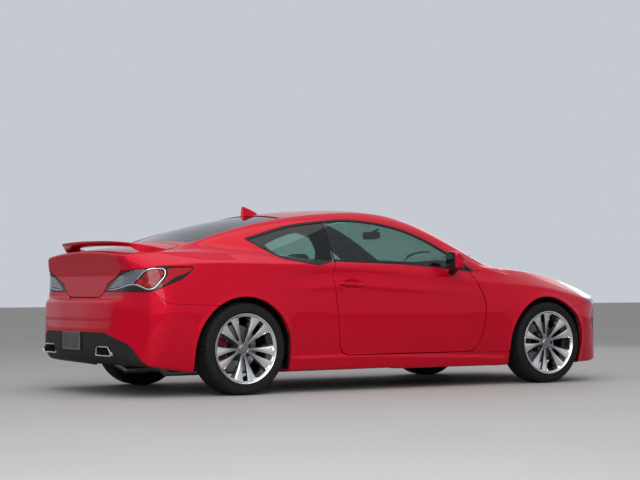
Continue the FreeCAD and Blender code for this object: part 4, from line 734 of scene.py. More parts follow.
class Finish(Tree):   # a material and its nodes
    def __init__(self, name, constants):
        self.material = bpy.data.materials.new(name)
        self.material.use_nodes = True
        super().__init__(self.material.node_tree)
        self.shader = self.tree.nodes.new("ShaderNodeBsdfPrincipled")
        self.node("ShaderNodeOutputMaterial", None, {"Surface": Wire(self, self.shader.outputs[0])})
        self.set(constants)
        self.place = self.node("ShaderNodeTexCoord", output="Object")

    def set(self, values):
        for key, value in values.items():
            self.put(self.shader.inputs[key], value)

    def made(self, colour, bump, rough=None):
        self.set({"Base Color": colour, "Normal": bump})
        if rough:
            self.set({"Roughness": rough})
        return self.material

    def noise(self, scale, detail=2.0):
        return self.node("ShaderNodeTexNoise", {"noise_dimensions": "3D"},
                         {"Vector": self.place, "Scale": scale, "Detail": detail, "Roughness": 0.5})

    def cells(self, scale, output="Distance"):
        return self.node("ShaderNodeTexVoronoi", {"feature": "F1"},
                         {"Vector": self.place, "Scale": scale}, output)

    def axis(self, which):
        return self.node("ShaderNodeSeparateXYZ", None, {0: self.place}, which)

    def between(self, value, low, high):
        return self.node("ShaderNodeMapRange", {"interpolation_type": "SMOOTHSTEP"},
                         {"Value": value, "From Min": low, "From Max": high})

    def mix(self, share, first, second):
        return self.node("ShaderNodeMix", {"data_type": "RGBA"}, {0: share, 6: first, 7: second}, 2)

    def bump(self, height, distance, strength):
        return self.node("ShaderNodeBump", None,
                         {"Height": height, "Distance": distance, "Strength": strength})

    def attribute(self, name):
        return self.node("ShaderNodeAttribute", {"attribute_name": name}, None, "Fac")


colours = {name: (*colour, 1) for name, colour in {
    "paint": (0.64, 0.0012, 0.022), "paintDark": (0.50, 0.0010, 0.018),
    "black": (0.006, 0.006, 0.007), "blackSoft": (0.016, 0.016, 0.017),
    "plastic": (0.013, 0.013, 0.014), "plasticLight": (0.022, 0.022, 0.023),
    "rubber": (0.009, 0.009, 0.010), "rubberLight": (0.018, 0.017, 0.017),
    # the dark alloy tone for the spoke roots is painted shade near the hub
    "alloy": (0.82, 0.83, 0.84), "alloyPaintedShade": (0.26, 0.265, 0.27), "alloyDark": (0.030, 0.031, 0.033),
    "steel": (0.36, 0.36, 0.37), "steelDark": (0.05, 0.05, 0.052), "iron": (0.33, 0.32, 0.31),
    "chrome": (0.80, 0.81, 0.83), "mirror": (0.16, 0.18, 0.20), "caliper": (0.22, 0.006, 0.008),
    "lensRed": (0.50, 0.002, 0.010), "lensDark": (0.20, 0.001, 0.004), "lensClear": (0.045, 0.065, 0.11),
    "lensGlass": (0.90, 0.92, 0.94), "plate": (0.075, 0.075, 0.078), "plateRim": (0.16, 0.16, 0.165),
    "seat": (0.030, 0.029, 0.030), "seatLight": (0.055, 0.053, 0.054), "carpet": (0.018, 0.018, 0.019),
    "greenTint": (0.42, 0.60, 0.54), "greyTint": (0.060, 0.085, 0.095),
    "floor": (0.40, 0.395, 0.39), "floorLight": (0.44, 0.435, 0.43),
}.items()}


def redPaint():
    f = Finish("redPaint", {"Metallic": 0.30, "Roughness": 0.36, "Specular IOR Level": 0.03,
                            "Coat Weight": 0.8, "Coat Roughness": 0.02, "Coat IOR": 1.28})
    flakes = f.cells(1400.0, "Color")
    tone = f.node("ShaderNodeSeparateColor", None, {0: flakes}, 0)
    drift = f.noise(3.0)
    return f.made(f.mix(tone * 0.55 + drift * 0.25, "paint", "paintDark"),
                  f.bump(f.noise(420.0, 1.0), 0.00002, 0.35))


def satinBlack():
    f = Finish("satinBlack", {"Specular IOR Level": 0.25})
    wear = f.noise(60.0, 3.0)
    return f.made(f.mix(wear, "black", "blackSoft"), f.bump(f.noise(600.0), 0.00004, 0.4),
                  0.34 + wear * 0.12)


def glossBlack():
    f = Finish("glossBlack", {"Roughness": 0.12, "Specular IOR Level": 0.4})
    return f.made(f.mix(f.noise(40.0), "black", "blackSoft"), f.bump(f.noise(300.0), 0.00002, 0.3))


def grainedPlastic():
    f = Finish("grainedPlastic", {"Specular IOR Level": 0.2})
    wear = f.noise(9.0, 4.0)
    grain = f.cells(900.0)
    return f.made(f.mix(wear, "plastic", "plasticLight"), f.bump(grain, 0.00012, 0.6), 0.50 + wear * 0.18)


def sealRubber():
    f = Finish("sealRubber", {"Specular IOR Level": 0.12})
    dust = f.noise(60.0, 3.0)
    return f.made(f.mix(dust, "rubber", "rubberLight"), f.bump(f.noise(700.0), 0.00005, 0.5),
                  0.62 + dust * 0.16)


wheelPlaces = {"middleX": 0.055, "halfBase": 1.410, "axleZ": 0.3295}


def wheelAngle(f):   # distance and turn about the nearest wheel's axle, for either side of the car
    side = f.maths("SIGN", f.axis("X") - wheelPlaces["middleX"])
    u = f.axis("X") - wheelPlaces["middleX"] - side * wheelPlaces["halfBase"]
    v = f.axis("Z") - wheelPlaces["axleZ"]
    return f.maths("SQRT", u * u + v * v), f.maths("ARCTAN2", v, u)


def tyreRubber():
    f = Finish("tyreRubber", {"Specular IOR Level": 0.15})
    away, turn = wheelAngle(f)
    ribs = f.maths("SINE", away * 2600.0)
    ring = f.between(away, 0.268, 0.272) * (1 - f.between(away, 0.290, 0.294))
    serration = f.maths("SINE", turn * 240.0) * ring
    dust = f.noise(22.0, 4.0)
    return f.made(f.mix(dust, "rubber", "rubberLight"),
                  f.bump(ribs * 0.25 + serration + f.noise(500.0) * 0.6, 0.0003, 0.5), 0.56 + dust * 0.2)


def machinedAlloy():   # turned face, with painted shade darkening the spokes towards the hub and a painted highlight at their ends
    f = Finish("machinedAlloy", {"Metallic": 1.0, "Coat Weight": 0.5, "Coat Roughness": 0.05})
    away, _ = wheelAngle(f)
    lines = f.maths("SINE", away * 5200.0)
    stain = f.noise(35.0, 3.0)
    # painted shade and highlight: the colour runs from dark near the hub to bright at the spoke ends
    reach = f.between(away, 0.060, 0.205)
    return f.made(f.mix(reach * (1 - stain * 0.25), "alloyPaintedShade", "alloy"), f.bump(lines, 0.00003, 0.5),
                  0.18 + stain * 0.10)


def darkAlloy():
    f = Finish("darkAlloy", {"Metallic": 0.6, "Coat Weight": 0.3, "Coat Roughness": 0.1})
    dust = f.noise(30.0, 4.0)
    return f.made(f.mix(dust * 0.6, "alloyDark", "steelDark"), f.bump(f.cells(1500.0), 0.00003, 0.4),
                  0.34 + dust * 0.2)


def brakeIron():
    f = Finish("brakeIron", {"Metallic": 1.0})
    away, turn = wheelAngle(f)
    lines = f.maths("SINE", away * 4200.0) * 0.5 + f.noise(90.0, 3.0)
    return f.made(f.mix(f.between(away, 0.084, 0.090), "steelDark", "iron"), f.bump(lines, 0.00005, 0.6),
                  0.30 + f.noise(50.0) * 0.15)


def uprightCast():   # cast upright with a painted caliper behind the axle
    f = Finish("uprightCast", {"Metallic": 0.3})
    away, _ = wheelAngle(f)
    isCaliper = f.between(away, 0.098, 0.102) * f.between(abs(f.axis("Y")), 0.695, 0.700)
    grit = f.noise(140.0, 4.0)
    return f.made(f.mix(isCaliper, f.mix(grit, "steelDark", "steel"), "caliper"),
                  f.bump(grit, 0.0006, 0.4), 0.60 - isCaliper * 0.30 + grit * 0.1)


def polishedSteel():
    f = Finish("polishedSteel", {"Metallic": 1.0})
    smear = f.noise(24.0, 3.0)
    return f.made(f.mix(smear * 0.4, "chrome", "steel"), f.bump(f.noise(260.0), 0.00002, 0.3),
                  0.07 + smear * 0.08)


def exhaustSteel():   # bright tips at the tail, duller and stained further forward
    f = Finish("exhaustSteel", {"Metallic": 1.0})
    isTip = 1 - f.between(f.axis("X"), -2.125, -2.115)
    stain = f.noise(16.0, 5.0)
    return f.made(f.mix(stain * (1 - isTip * 0.7), "chrome", "steel"), f.bump(stain, 0.0004, 0.2),
                  0.12 + (1 - isTip) * 0.25 + stain * 0.12)


def underSteel():
    f = Finish("underSteel", {"Metallic": 0.5})
    rust = f.noise(18.0, 5.0)
    return f.made(f.mix(rust, "steelDark", "plasticLight"), f.bump(f.noise(220.0, 3.0), 0.0003, 0.4),
                  0.52 + rust * 0.2)


def floorCarpet():   # carpet, mixed in broad patches with a sprayed coating
    f = Finish("floorCarpet", {"Specular IOR Level": 0.2})
    pile = f.noise(1100.0, 2.0)
    return f.made(f.mix(f.noise(12.0, 3.0), "carpet", "plasticLight"),
                  f.bump(pile + f.noise(60.0), 0.0009, 0.6), 0.80 + pile * 0.12)


def seatCloth():
    f = Finish("seatCloth", {"Specular IOR Level": 0.25, "Sheen Weight": 0.25})
    x, y, v = f.axis("X"), f.axis("Y"), f.axis("Z")
    weave = f.maths("SINE", (x + v) * 2400.0) * f.maths("SINE", y * 2400.0)
    centre = 1 - f.between(abs(abs(y) - 0.405), 0.105, 0.115)
    return f.made(f.mix(centre * 0.8, "seat", "seatLight"), f.bump(weave, 0.0003, 0.6),
                  0.72 + f.noise(30.0) * 0.15)


def tintedGlass(name, tint):   # clear with a black printed border, which the piece's own attribute places
    f = Finish(name, {"Roughness": 0.0, "IOR": 1.45, "Transmission Weight": 1.0})
    border = 1 - f.between(f.attribute("edge"), 0.0, 0.003)
    haze = f.noise(1.6) * 0.10
    return f.made(f.mix(border, f.mix(haze, tint, "greyTint"), "black"),
                  f.bump(f.noise(2.5), 0.0004, 0.2))


def windowGlass():
    return tintedGlass("windowGlass", "greenTint")


def rearGlass():
    return tintedGlass("rearGlass", "greyTint")


def lensClear():
    f = Finish("lensClear", {"Roughness": 0.0, "IOR": 1.45, "Transmission Weight": 1.0})
    return f.made(f.mix(f.noise(6.0) * 0.2, "lensGlass", "chrome"), f.bump(f.noise(4.0), 0.0003, 0.2))


def lensRed():   # red lens with fine prisms, and painted light: brighter and darker patches at random give it a lit look
    f = Finish("lensRed", {"Roughness": 0.10, "Specular IOR Level": 0.2, "Coat Weight": 0.5,
                           "Coat Roughness": 0.02})
    prisms = f.maths("SINE", (f.axis("X") + f.axis("Y")) * 900.0) * f.maths("SINE", f.axis("Z") * 900.0)
    # painted light: noise patches between bright and dark red
    return f.made(f.mix(f.between(f.noise(26.0), 0.35, 0.65), "lensRed", "lensDark"),
                  f.bump(prisms, 0.0005, 0.35))


def reflectorRed():   # darker corner reflector with a grid of cube corners
    f = Finish("reflectorRed", {"Roughness": 0.12, "Specular IOR Level": 0.2, "Coat Weight": 0.5,
                                "Coat Roughness": 0.02})
    grid = f.cells(210.0)
    return f.made(f.mix(f.between(grid, 0.1, 0.6), "lensDark", "lensRed"), f.bump(grid, 0.0010, 0.5))


def lensPale():   # pale blue grey lens over a bright reflector
    f = Finish("lensPale", {"Roughness": 0.10, "Metallic": 0.6, "Coat Weight": 1.0, "Coat Roughness": 0.02})
    ribs = f.maths("SINE", f.axis("Z") * 400.0 + f.axis("X") * 260.0 + f.noise(24.0) * 9.0)
    return f.made(f.mix(ribs * 0.16 + 0.14, "lensClear", "chrome"), f.bump(ribs, 0.0008, 0.4))


def plateWhite():   # blank plate with a raised rim
    f = Finish("plateWhite", {"Roughness": 0.40})
    rim = f.between(abs(f.axis("Y")), 0.144, 0.147) + f.between(abs(f.axis("Z") - 0.390), 0.058, 0.061)
    return f.made(f.mix(rim, f.mix(f.noise(14.0), "plate", "plasticLight"), "plateRim"),
                  f.bump(rim, 0.0015, 0.6))


def mirrorGlass():
    f = Finish("mirrorGlass", {"Metallic": 1.0, "Roughness": 0.02})
    return f.made(f.mix(f.noise(5.0) * 0.3, "mirror", "iron"), f.bump(f.noise(3.0), 0.0001, 0.2))


finishes = {maker.__name__: maker() for maker in (
    redPaint, satinBlack, glossBlack, grainedPlastic, sealRubber, tyreRubber, machinedAlloy, darkAlloy,
    brakeIron, uprightCast, polishedSteel, exhaustSteel, underSteel, floorCarpet, seatCloth, windowGlass,
    rearGlass, lensClear, lensRed, reflectorRed, lensPale, plateWhite, mirrorGlass)}
print("finishes ready:", len(finishes))


def claim(thing, body, replaces=()):
    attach(thing, body)
    if replaces:
        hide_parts(*replaces)
    return thing


def addPiece(name, part, finish, body, replaces=(), slots=None, attribute=None):
    names = [finish] if isinstance(finish, str) else finish
    thing = makeObject(name, part, [finishes[n] for n in names], slots, attribute)
    return claim(thing, body, replaces)


outerFinish = {"reach": 0.030, "roofZ": 0.93, "roofFacing": 0.6, "sideFacing": -0.25, "lowest": 0.26}


def insideCopy(node, name, finish, body, depth=0.008, skinFinish=None):   # the solid, set in below the skin
    mesh = bmesh.new()
    mesh.from_mesh(nodes[node].data)
    bmesh.ops.remove_doubles(mesh, verts=mesh.verts, dist=0.00002)
    points = np.array([v.co for v in mesh.verts])
    deep = np.maximum(skinField(points) + depth, 0)[:, None]
    for v, place in zip(mesh.verts, points - fieldNormals(points) * deep):
        v.co = place
    data = bpy.data.meshes.new(name)
    mesh.to_mesh(data)
    mesh.free()
    data.materials.append(finishes[finish])
    if skinFinish:
        data.materials.append(finishes[skinFinish])
        centres, facing = faceData(data)
        outward = (facing * fieldNormals(centres)).sum(1)
        high = centres[:, 2] > outerFinish["roofZ"]
        least = np.where(high, outerFinish["roofFacing"], outerFinish["sideFacing"])
        near = (skinField(centres) > -outerFinish["reach"]) & (outward > least)
        near &= centres[:, 2] > outerFinish["lowest"]
        data.polygons.foreach_set("material_index", near.astype(np.int32))
    thing = linked(name, data)
    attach(thing, body)
    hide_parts(node)


def faceData(mesh):
    return np.array([p.center for p in mesh.polygons]), np.array([p.normal for p in mesh.polygons])


def cutPanel(name):
    return cutGrid(skinPoints, skinNormals, panelFields[name] - seams["hem"])


def paired(part):   # with its mirror image, as one part
    return joined([part, mirrorPart(part)])

def hemmed(part):
    return withHem(tidyFaces(*part), rolledEdge(seams["hem"], seams["flange"]))


def thickened(part, depth):
    verts, norms, faces = tidyFaces(*part)
    total = len(verts)
    made = faces + [[k + total for k in reversed(face)] for face in faces]
    made += [[b, a, a + total, b + total] for a, b in openEdges(faces)]
    return np.concatenate([verts, verts - norms * depth]), np.concatenate([norms, -norms]), made


for name, body, node in (
        ("roof", "body", "roof_panel"), ("hood", "hood", "hood"), ("lid", "trunk_lid", "trunk_lid"),
        ("frontBumper", "body", "front_bumper"), ("rearBumper", "body", "rear_bumper"),
        ("diffuser", "body", "rear_diffuser")):
    finish, slot = ("grainedPlastic", "black_plastic") if name == "diffuser" else ("redPaint", "red_paint")
    addPiece(name + "Skin", hemmed(paired(cutPanel(name))), finish, body)
    insideCopy(node, name + "Inside", "floorCarpet" if name == "roof" else "grainedPlastic", body,
               skinFinish=finish)
addPiece("bodySkin", hemmed(paired(cutPanel("body"))), "redPaint", "body")
insideCopy("rear_shelf", "rearShelfInside", "floorCarpet", "body")
for side, turn in (("left", tuple), ("right", mirrorPart)):   # the right side is the left one, mirrored
    big = side.capitalize()
    addPiece("door" + big, turn(hemmed(cutPanel("door"))), "redPaint", "door_" + side)
    insideCopy("door_" + side, "doorInside" + big, "grainedPlastic", "door_" + side, skinFinish="redPaint")
    insideCopy("body_side_" + side, "bodySideInside" + big, "grainedPlastic", "body", skinFinish="redPaint")
addPiece("fenders", paired(hemmed(cutPanel("fender"))), "redPaint", "body")
insideCopy("front_fenders", "fendersInside", "grainedPlastic", "body", skinFinish="redPaint")
print("panels made")

glassSizes = {"inset": 0.006, "thickness": 0.004, "frontBorder": 0.045,
              "rearBorder": 0.055, "sailBorderX": 0.640, "gap": 0.003,
              "splitX": -0.553, "doorSink": 0.024}


def glassPiece(name, parts, edges, body, node, finish="windowGlass"):
    addPiece(name, joined(parts), finish, body, [node],
             attribute={"edge": np.concatenate(edges)})


def topGlass(outlineName, border, low):
    g = glassSizes
    points = (skinPoints - skinNormals * g["inset"])[coarse]
    field = np.minimum(within(outlineName, points[..., 0], points[..., 1]) - g["gap"], points[..., 2] - low)
    part = thickened(paired(cutGrid(points, skinNormals[coarse], field)), g["thickness"])
    return part, within(outlineName, part[0][:, 0], abs(part[0][:, 1])) - border


coarse = (slice(None, None, 2), slice(None, None, 2))   # every second line of the grid
for name, border, low, node, finish in (
        ("windshield", glassSizes["frontBorder"], 0.85, "windshield", "windowGlass"),
        ("rearWindow", glassSizes["rearBorder"], 0.95, "rear_window", "rearGlass")):
    part, edge = topGlass(name, border, low)
    glassPiece(name + "Glass", [part], [edge], "body", node, finish)


def sideGlass(isDoor):
    g = glassSizes
    points = skinPoints - skinNormals * g["inset"]
    x, y, z = points[..., 0], points[..., 1], points[..., 2]
    outline = within("sideWindow", x, z)
    field = np.minimum(outline - g["gap"], y - 0.45)
    if isDoor:
        sunk = np.minimum.reduce([outline + g["doorSink"], y - 0.45, 0.68 - x, 1.0 - z])
        field = np.minimum(np.maximum(field, sunk), x - g["splitX"] - g["gap"])
    else:
        field = np.minimum(field, g["splitX"] - g["gap"] - x)
    part = thickened(cutGrid(points, skinNormals, field), g["thickness"])
    if not isDoor:
        return part, seenWithin("quarterClear", part[0])
    px, pz = part[0][:, 0], part[0][:, 2]
    sail = g["sailBorderX"] + (pz - 0.90) * -0.6 + 0.03
    outline = within("sideWindow", px, pz)
    return part, np.minimum.reduce([outline - 0.010, sail - px, px - g["splitX"] - 0.012])


part, edge = sideGlass(True)
glassPiece("doorGlassLeft", [part], [edge], "door_left", "door_glass_left")
glassPiece("doorGlassRight", [mirrorPart(part)], [edge], "door_right", "door_glass_right")
part, edge = sideGlass(False)
glassPiece("quarterGlasses", [part, mirrorPart(part)], [edge, edge], "body", "quarter_glasses")


def skinBand(inside, offset, depth):   # a strip lying in the skin where a field is above zero
    return thickened(cutGrid(skinPoints - skinNormals * offset, skinNormals, inside), depth)


windowEdge = z["window"]
onDoor = z["door"] + 0.030
trim = skinBand(np.minimum.reduce([windowEdge + 0.001, 0.012 - windowEdge, -onDoor + 0.016]), -0.0005, 0.012)
addPiece("windowTrim", paired(trim), "satinBlack", "body")
belt = skinBand(np.minimum.reduce([
    windowEdge + 0.0005, 0.013 - windowEdge, onDoor - 0.018, gx - glassSizes["splitX"] - 0.004]),
    -0.0005, 0.010)
addPiece("beltTrimLeft", belt, "satinBlack", "door_left")
addPiece("beltTrimRight", mirrorPart(belt), "satinBlack", "door_right")
for name, key, wide in (("roofSeals", "roof", 0.004), ("windshieldSeal", "windshield", 0.010),
                        ("rearWindowSeal", "rearWindow", 0.010)):
    seal = skinBand(np.minimum(z[key] + 0.006, wide - z[key]), 0.004, 0.006)
    addPiece(name, paired(seal), "sealRubber", "body")


lampSizes = {"lens": 0.003, "gap": 0.002, "sink": 0.0015, "caseSink": 0.004, "hookWide": 0.009,
             "hookRadius": 0.0042, "rimWide": 0.009, "browStart": 0.011, "browEnd": 0.027}
tailRoom = np.minimum.reduce([z["tailLamp"], -lidHole, -archHoles]) - lampSizes["gap"]
headRoom = np.minimum.reduce([z["headlamp"], -hoodHole, -archHoles]) - lampSizes["gap"]
lampHook = seenWithin("hook", skinPoints, lampSizes["hookWide"])
for name, outline, finish in (("tailLampClear", "clearPart", "lensPale"),
                              ("tailLampRed", "redPart", "lensRed"),
                              ("tailLampOuter", "outerPart", "reflectorRed")):
    lens = skinBand(np.minimum.reduce([tailRoom, seenWithin(outline, skinPoints), -lampHook]),
                    lampSizes["sink"], lampSizes["lens"])
    addPiece(name, paired(lens), finish, "body")
addPiece("tailLampCase", paired(skinBand(tailRoom, lampSizes["caseSink"], 0.004)), "glossBlack", "body")
insideCopy("tail_lamps", "tailLampInside", "grainedPlastic", "body", 0.010)
headLens = skinBand(headRoom, lampSizes["sink"], lampSizes["lens"])
addPiece("headlampLens", paired(headLens), "lensClear", "body")
insideCopy("headlamps", "headlampCase", "glossBlack", "body", 0.034)
headRim = skinBand(np.minimum(headRoom, lampSizes["rimWide"] - headRoom), 0.006, 0.022)
addPiece("headlampRims", paired(headRim), "glossBlack", "body")


def placeOnSkin(start, way, reach):   # where rays from outside first meet the skin
    start = np.atleast_2d(np.asarray(start, float))
    way = np.asarray(way, float)
    steps = np.linspace(0, reach, 300)
    hits = skinField(start[:, None, :] + way * steps[None, :, None]) < 0
    first = np.where(hits.any(1), hits.argmax(1), 299)
    low, high = steps[np.maximum(first - 1, 0)], steps[first]
    for _ in range(18):
        middle = (low + high) / 2
        inside = skinField(start + way * middle[:, None]) < 0
        low = np.where(inside, low, middle)
        high = np.where(inside, middle, high)
    return start + way * high[:, None]


def sidePoints(points):   # x z on the left side, found on the skin
    return placeOnSkin([(x, 1.2, z) for x, z in points], (0, -1, 0), 0.9)


def smoothPath(points, count):
    points = np.asarray(points, float)
    lengths = np.linalg.norm(np.diff(points, axis=0), axis=1)
    along = np.concatenate([[0], np.cumsum(lengths)])
    return smoothCurve(along, points, np.linspace(0, along[-1], count))


def sweptPart(path, section, ups):   # a section, as out and up, along a path
    path = np.asarray(path, float)
    way = np.gradient(path, axis=0)
    way /= np.linalg.norm(way, axis=1, keepdims=True)
    ups = np.broadcast_to(np.asarray(ups, float), path.shape)
    out = np.cross(way, ups)
    out /= np.linalg.norm(out, axis=1, keepdims=True)
    up = np.cross(out, way)
    section = np.asarray(section, float)
    if section.ndim == 2:
        section = np.broadcast_to(section, (len(path),) + section.shape)
    verts = path[:, None, :] + out[:, None, :] * section[..., :1] + up[:, None, :] * section[..., 1:2]
    return ringsPart(verts)


def ringsPart(rings, closedEnds=True, wrapRings=False):   # rings of points joined to a skin
    rings = np.asarray(rings, float)
    count, size = rings.shape[:2]
    verts = rings.reshape(-1, 3)
    faces = []
    last = count if wrapRings else count - 1
    for i in range(last):
        a, b = i * size, ((i + 1) % count) * size
        for k in range(size):
            n = (k + 1) % size
            faces.append([a + k, a + n, b + n, b + k])
    if closedEnds and not wrapRings:
        for base, ring in ((0, rings[0]), (count - 1, rings[-1])):
            verts = np.concatenate([verts, ring.mean(0, keepdims=True)])
            middle = len(verts) - 1
            for k in range(size):
                n = (k + 1) % size
                face = [base * size + n, base * size + k, middle]
                faces.append(face if base == 0 else face[::-1])
    return verts, None, faces


def plainMesh(name, parts):   # closed parts in one mesh
    verts, faces, total = [], [], 0
    for part in parts:
        verts.append(part[0])
        faces += [[k + total for k in face] for face in part[2]]
        total += len(part[0])
    mesh = bpy.data.meshes.new(name)
    mesh.from_pydata(np.concatenate(verts).tolist(), [], faces)
    return mesh


def faceOutwards(mesh, weld=None):
    work = bmesh.new()
    work.from_mesh(mesh)
    if weld:
        bmesh.ops.remove_doubles(work, verts=work.verts, dist=weld)
    bmesh.ops.recalc_face_normals(work, faces=work.faces)
    work.to_mesh(mesh)
    work.free()


def solidPiece(name, parts, finish, body, replaces=(), smoothAngle=40):
    mesh = plainMesh(name, [part for _, part in parts])
    for n in [finish] if isinstance(finish, str) else finish:
        mesh.materials.append(finishes[n])
    slots = [index for index, part in parts for _ in part[2]]
    mesh.polygons.foreach_set("material_index", np.array(slots, np.int32))
    faceOutwards(mesh, 0.00001)
    thing = linked(name, mesh)
    mesh.shade_smooth()
    mesh.set_sharp_from_angle(angle=math.radians(smoothAngle))
    return claim(thing, body, replaces)


def applyModifiers(thing):
    graph = bpy.context.evaluated_depsgraph_get()
    made = bpy.data.meshes.new_from_object(thing.evaluated_get(graph))
    made.name = thing.data.name
    thing.modifiers.clear()
    thing.data = made


def revolve(profile, centre, side, count, bend=None):   # radius and outward distance about an axle
    profile = np.asarray(profile, float)
    angles = fullTurn(count)
    rings = []
    for k, angle in enumerate(angles):
        r, w = profile[:, 0].copy(), profile[:, 1].copy()
        if bend is not None:
            r = r + bend(k, profile)
        rings.append(np.stack([
            centre[0] + r * math.cos(angle), centre[1] + side * w, centre[2] + r * math.sin(angle)], 1))
    return ringsPart(np.array(rings), False, wrapRings=True)


def seenOnSkin(name):   # an outline of the view, found on the skin of the left side
    ahead, right, top = viewAxes()
    line = np.array(seenOutlines[name])
    focus = view["lens"] / view["sensor"] * view["wide"]
    across = (line[:, :1] - view["wide"] / 2) / focus
    down = (line[:, 1:] - view["high"] / 2) / focus
    ways = ahead + across * right - down * top
    start = np.array(view["place"]) + ways * 9.0
    found = []
    for place, way in zip(start, ways):
        steps = np.linspace(0, 6.0, 1500)
        trail = (place + way * steps[:, None]) * flip
        hit = steps[(skinField(trail) < 0).argmax()]
        found.append((place + way * hit) * flip)
    return np.array(found)


def hookPart():
    path = smoothPath(seenOnSkin("hook"), 90)
    normals = fieldNormals(path)
    way = np.gradient(path, axis=0)
    way /= np.linalg.norm(way, axis=1, keepdims=True)
    across = np.cross(way, normals)
    turn = fullTurn(12)
    radius = lampSizes["hookRadius"] * (0.35 + 0.65 * np.minimum(1, np.linspace(0, 9, len(path))))
    turn = turn[None, :, None]
    ring = across[:, None] * np.cos(turn) + normals[:, None] * np.sin(turn) * 0.7
    return ringsPart(path[:, None] + ring * radius[:, None, None])


def otherSide(part):   # the mirror image of a closed part
    return part[0] * flip, None, part[2]


def bothSides(part, finish=0):
    return [(finish, part), (finish, otherSide(part))]


solidPiece("tailLampHook", bothSides(hookPart()), "polishedSteel", "body", smoothAngle=60)

nose = {
    "grilleHeights": (0.332, 0.366, 0.400, 0.434, 0.468, 0.502, 0.536), "grilleSink": 0.012,
    "ribStep": 0.030, "ribSink": 0.021, "wallSink": 0.031, "wallReach": 0.014, "frame": 0.016,
    "fogReach": 0.004,
    "fogHeights": (0.352, 0.384, 0.416, 0.448), "fogWall": 0.0055, "fogSink": 0.003,
    "slat": [(-0.009, -0.0025), (0.002, -0.0050), (0.004, 0.0), (0.002, 0.0050), (-0.009, 0.0025)],
    "thin": [(-0.006, -0.0020), (0.002, -0.0025), (0.002, 0.0025), (-0.006, 0.0020)],
    "fogLamp": (0.618, 0.398), "fogRing": [(0.040, -0.006), (0.041, 0.002), (0.037, 0.004), (0.034, 0.000)],
    "fogGlass": [(0.034, -0.001), (0.028, 0.002), (0.018, 0.004), (0.008, 0.005), (0.001, 0.005)],
    "lamps": [(0.500, 0.668), (0.606, 0.682)], "lampSink": 0.013,
    "bowl": [(0.036, -0.012), (0.038, 0.003), (0.035, 0.004), (0.028, -0.004), (0.024, -0.008)],
    "dome": [(0.024, -0.009), (0.022, -0.003), (0.016, 0.002), (0.008, 0.0045), (0.001, 0.005)],
}


def frontPoints(points, sink):   # y z on the nose, found on the skin and pushed in
    found = placeOnSkin([(2.6, y, h) for y, h in points], (-1, 0, 0), 0.9)
    return found - fieldNormals(found) * sink


def spanOf(name, height, room):   # where an outline's sides lie at a height
    line = shapeLines[name]
    ys = np.linspace(line[:, 0].min(), line[:, 0].max(), 400)
    inside = ys[insideDistance(line, ys, np.full(400, height)) > room]
    return inside.min(), inside.max()


def slatPart(name, height, sink, section, room=-0.004):
    low, high = spanOf(name, height, room)
    path = frontPoints([(y, height) for y in np.linspace(low, high, 26)], sink)
    return sweptPart(path, nose[section], (0, 0, 1))


def turned(centre, way, profile, count=40):   # radius and outward distance about a line
    way = way / np.linalg.norm(way)
    across = np.cross(way, (0, 0, 1))
    across /= np.linalg.norm(across)
    upward = np.cross(across, way)
    turn = fullTurn(count)[:, None]
    ring = across * np.cos(turn) + upward * np.sin(turn)
    return ringsPart(np.array([centre + way * out + ring * radius for radius, out in profile]))


def grilleParts():
    made = [(0, slatPart("grille", h, nose["grilleSink"], "slat")) for h in nose["grilleHeights"]]
    half = spanOf("grille", 0.470, 0.0)[1]
    for y in np.arange(-int(half / nose["ribStep"]), int(half / nose["ribStep"]) + 1) * nose["ribStep"]:
        heights = np.linspace(0.300, 0.560, 60)
        inside = heights[insideDistance(shapeLines["grille"], np.full(60, y), heights) > -0.004]
        path = frontPoints([(y, h) for h in np.linspace(inside.min(), inside.max(), 8)], nose["ribSink"])
        made.append((0, sweptPart(path, nose["thin"], (0, -1, 0))))
    return made


solidPiece("grilleSlats", grilleParts(), "glossBlack", "body", ["grille"], smoothAngle=35)
wall = thickened(cutGrid((skinPoints - skinNormals * nose["wallSink"])[coarse], skinNormals[coarse],
                         z["grille"][coarse] + nose["wallReach"]), 0.002)
addPiece("grilleWall", paired(wall), "satinBlack", "body")
frameBand = skinBand(np.minimum(z["grille"] + 0.001, nose["frame"] - z["grille"]), -0.002, 0.022)
addPiece("grilleFrame", paired(frameBand), "glossBlack", "body")
recess = skinBand(z["fog"] + nose["fogReach"], nose["fogWall"], 0.0015)
addPiece("fogRecess", paired(recess), "grainedPlastic", "body")
fogParts = [slatPart("fog", h, nose["fogSink"], "thin", 0.004) for h in nose["fogHeights"]]
fogPlace = frontPoints([nose["fogLamp"]], 0.001)
fogWay = fieldNormals(fogPlace)[0]
fogParts.append(turned(fogPlace[0], fogWay, nose["fogRing"]))
solidPiece("fogLamps", [side for part in fogParts for side in bothSides(part)]
           + bothSides(turned(fogPlace[0], fogWay, nose["fogGlass"]), 1), ["glossBlack", "lensPale"], "body",
           smoothAngle=45)
lampPlaces = frontPoints(nose["lamps"], nose["lampSink"])
lampInsides = []
for place, way in zip(lampPlaces, fieldNormals(lampPlaces)):
    lampInsides += bothSides(turned(place, way, nose["bowl"]))
    lampInsides += bothSides(turned(place, way, nose["dome"]), 1)
solidPiece("headlampProjectors", lampInsides, ["polishedSteel", "lensPale"], "body",
           smoothAngle=45)
underBrow = gz - 0.700 - (2.10 - gx) * 0.35
brow = np.minimum.reduce([headRoom - lampSizes["browStart"], lampSizes["browEnd"] - headRoom, underBrow])
addPiece("headlampStrips", paired(skinBand(brow, 0.008, 0.003)), "lensPale", "body")

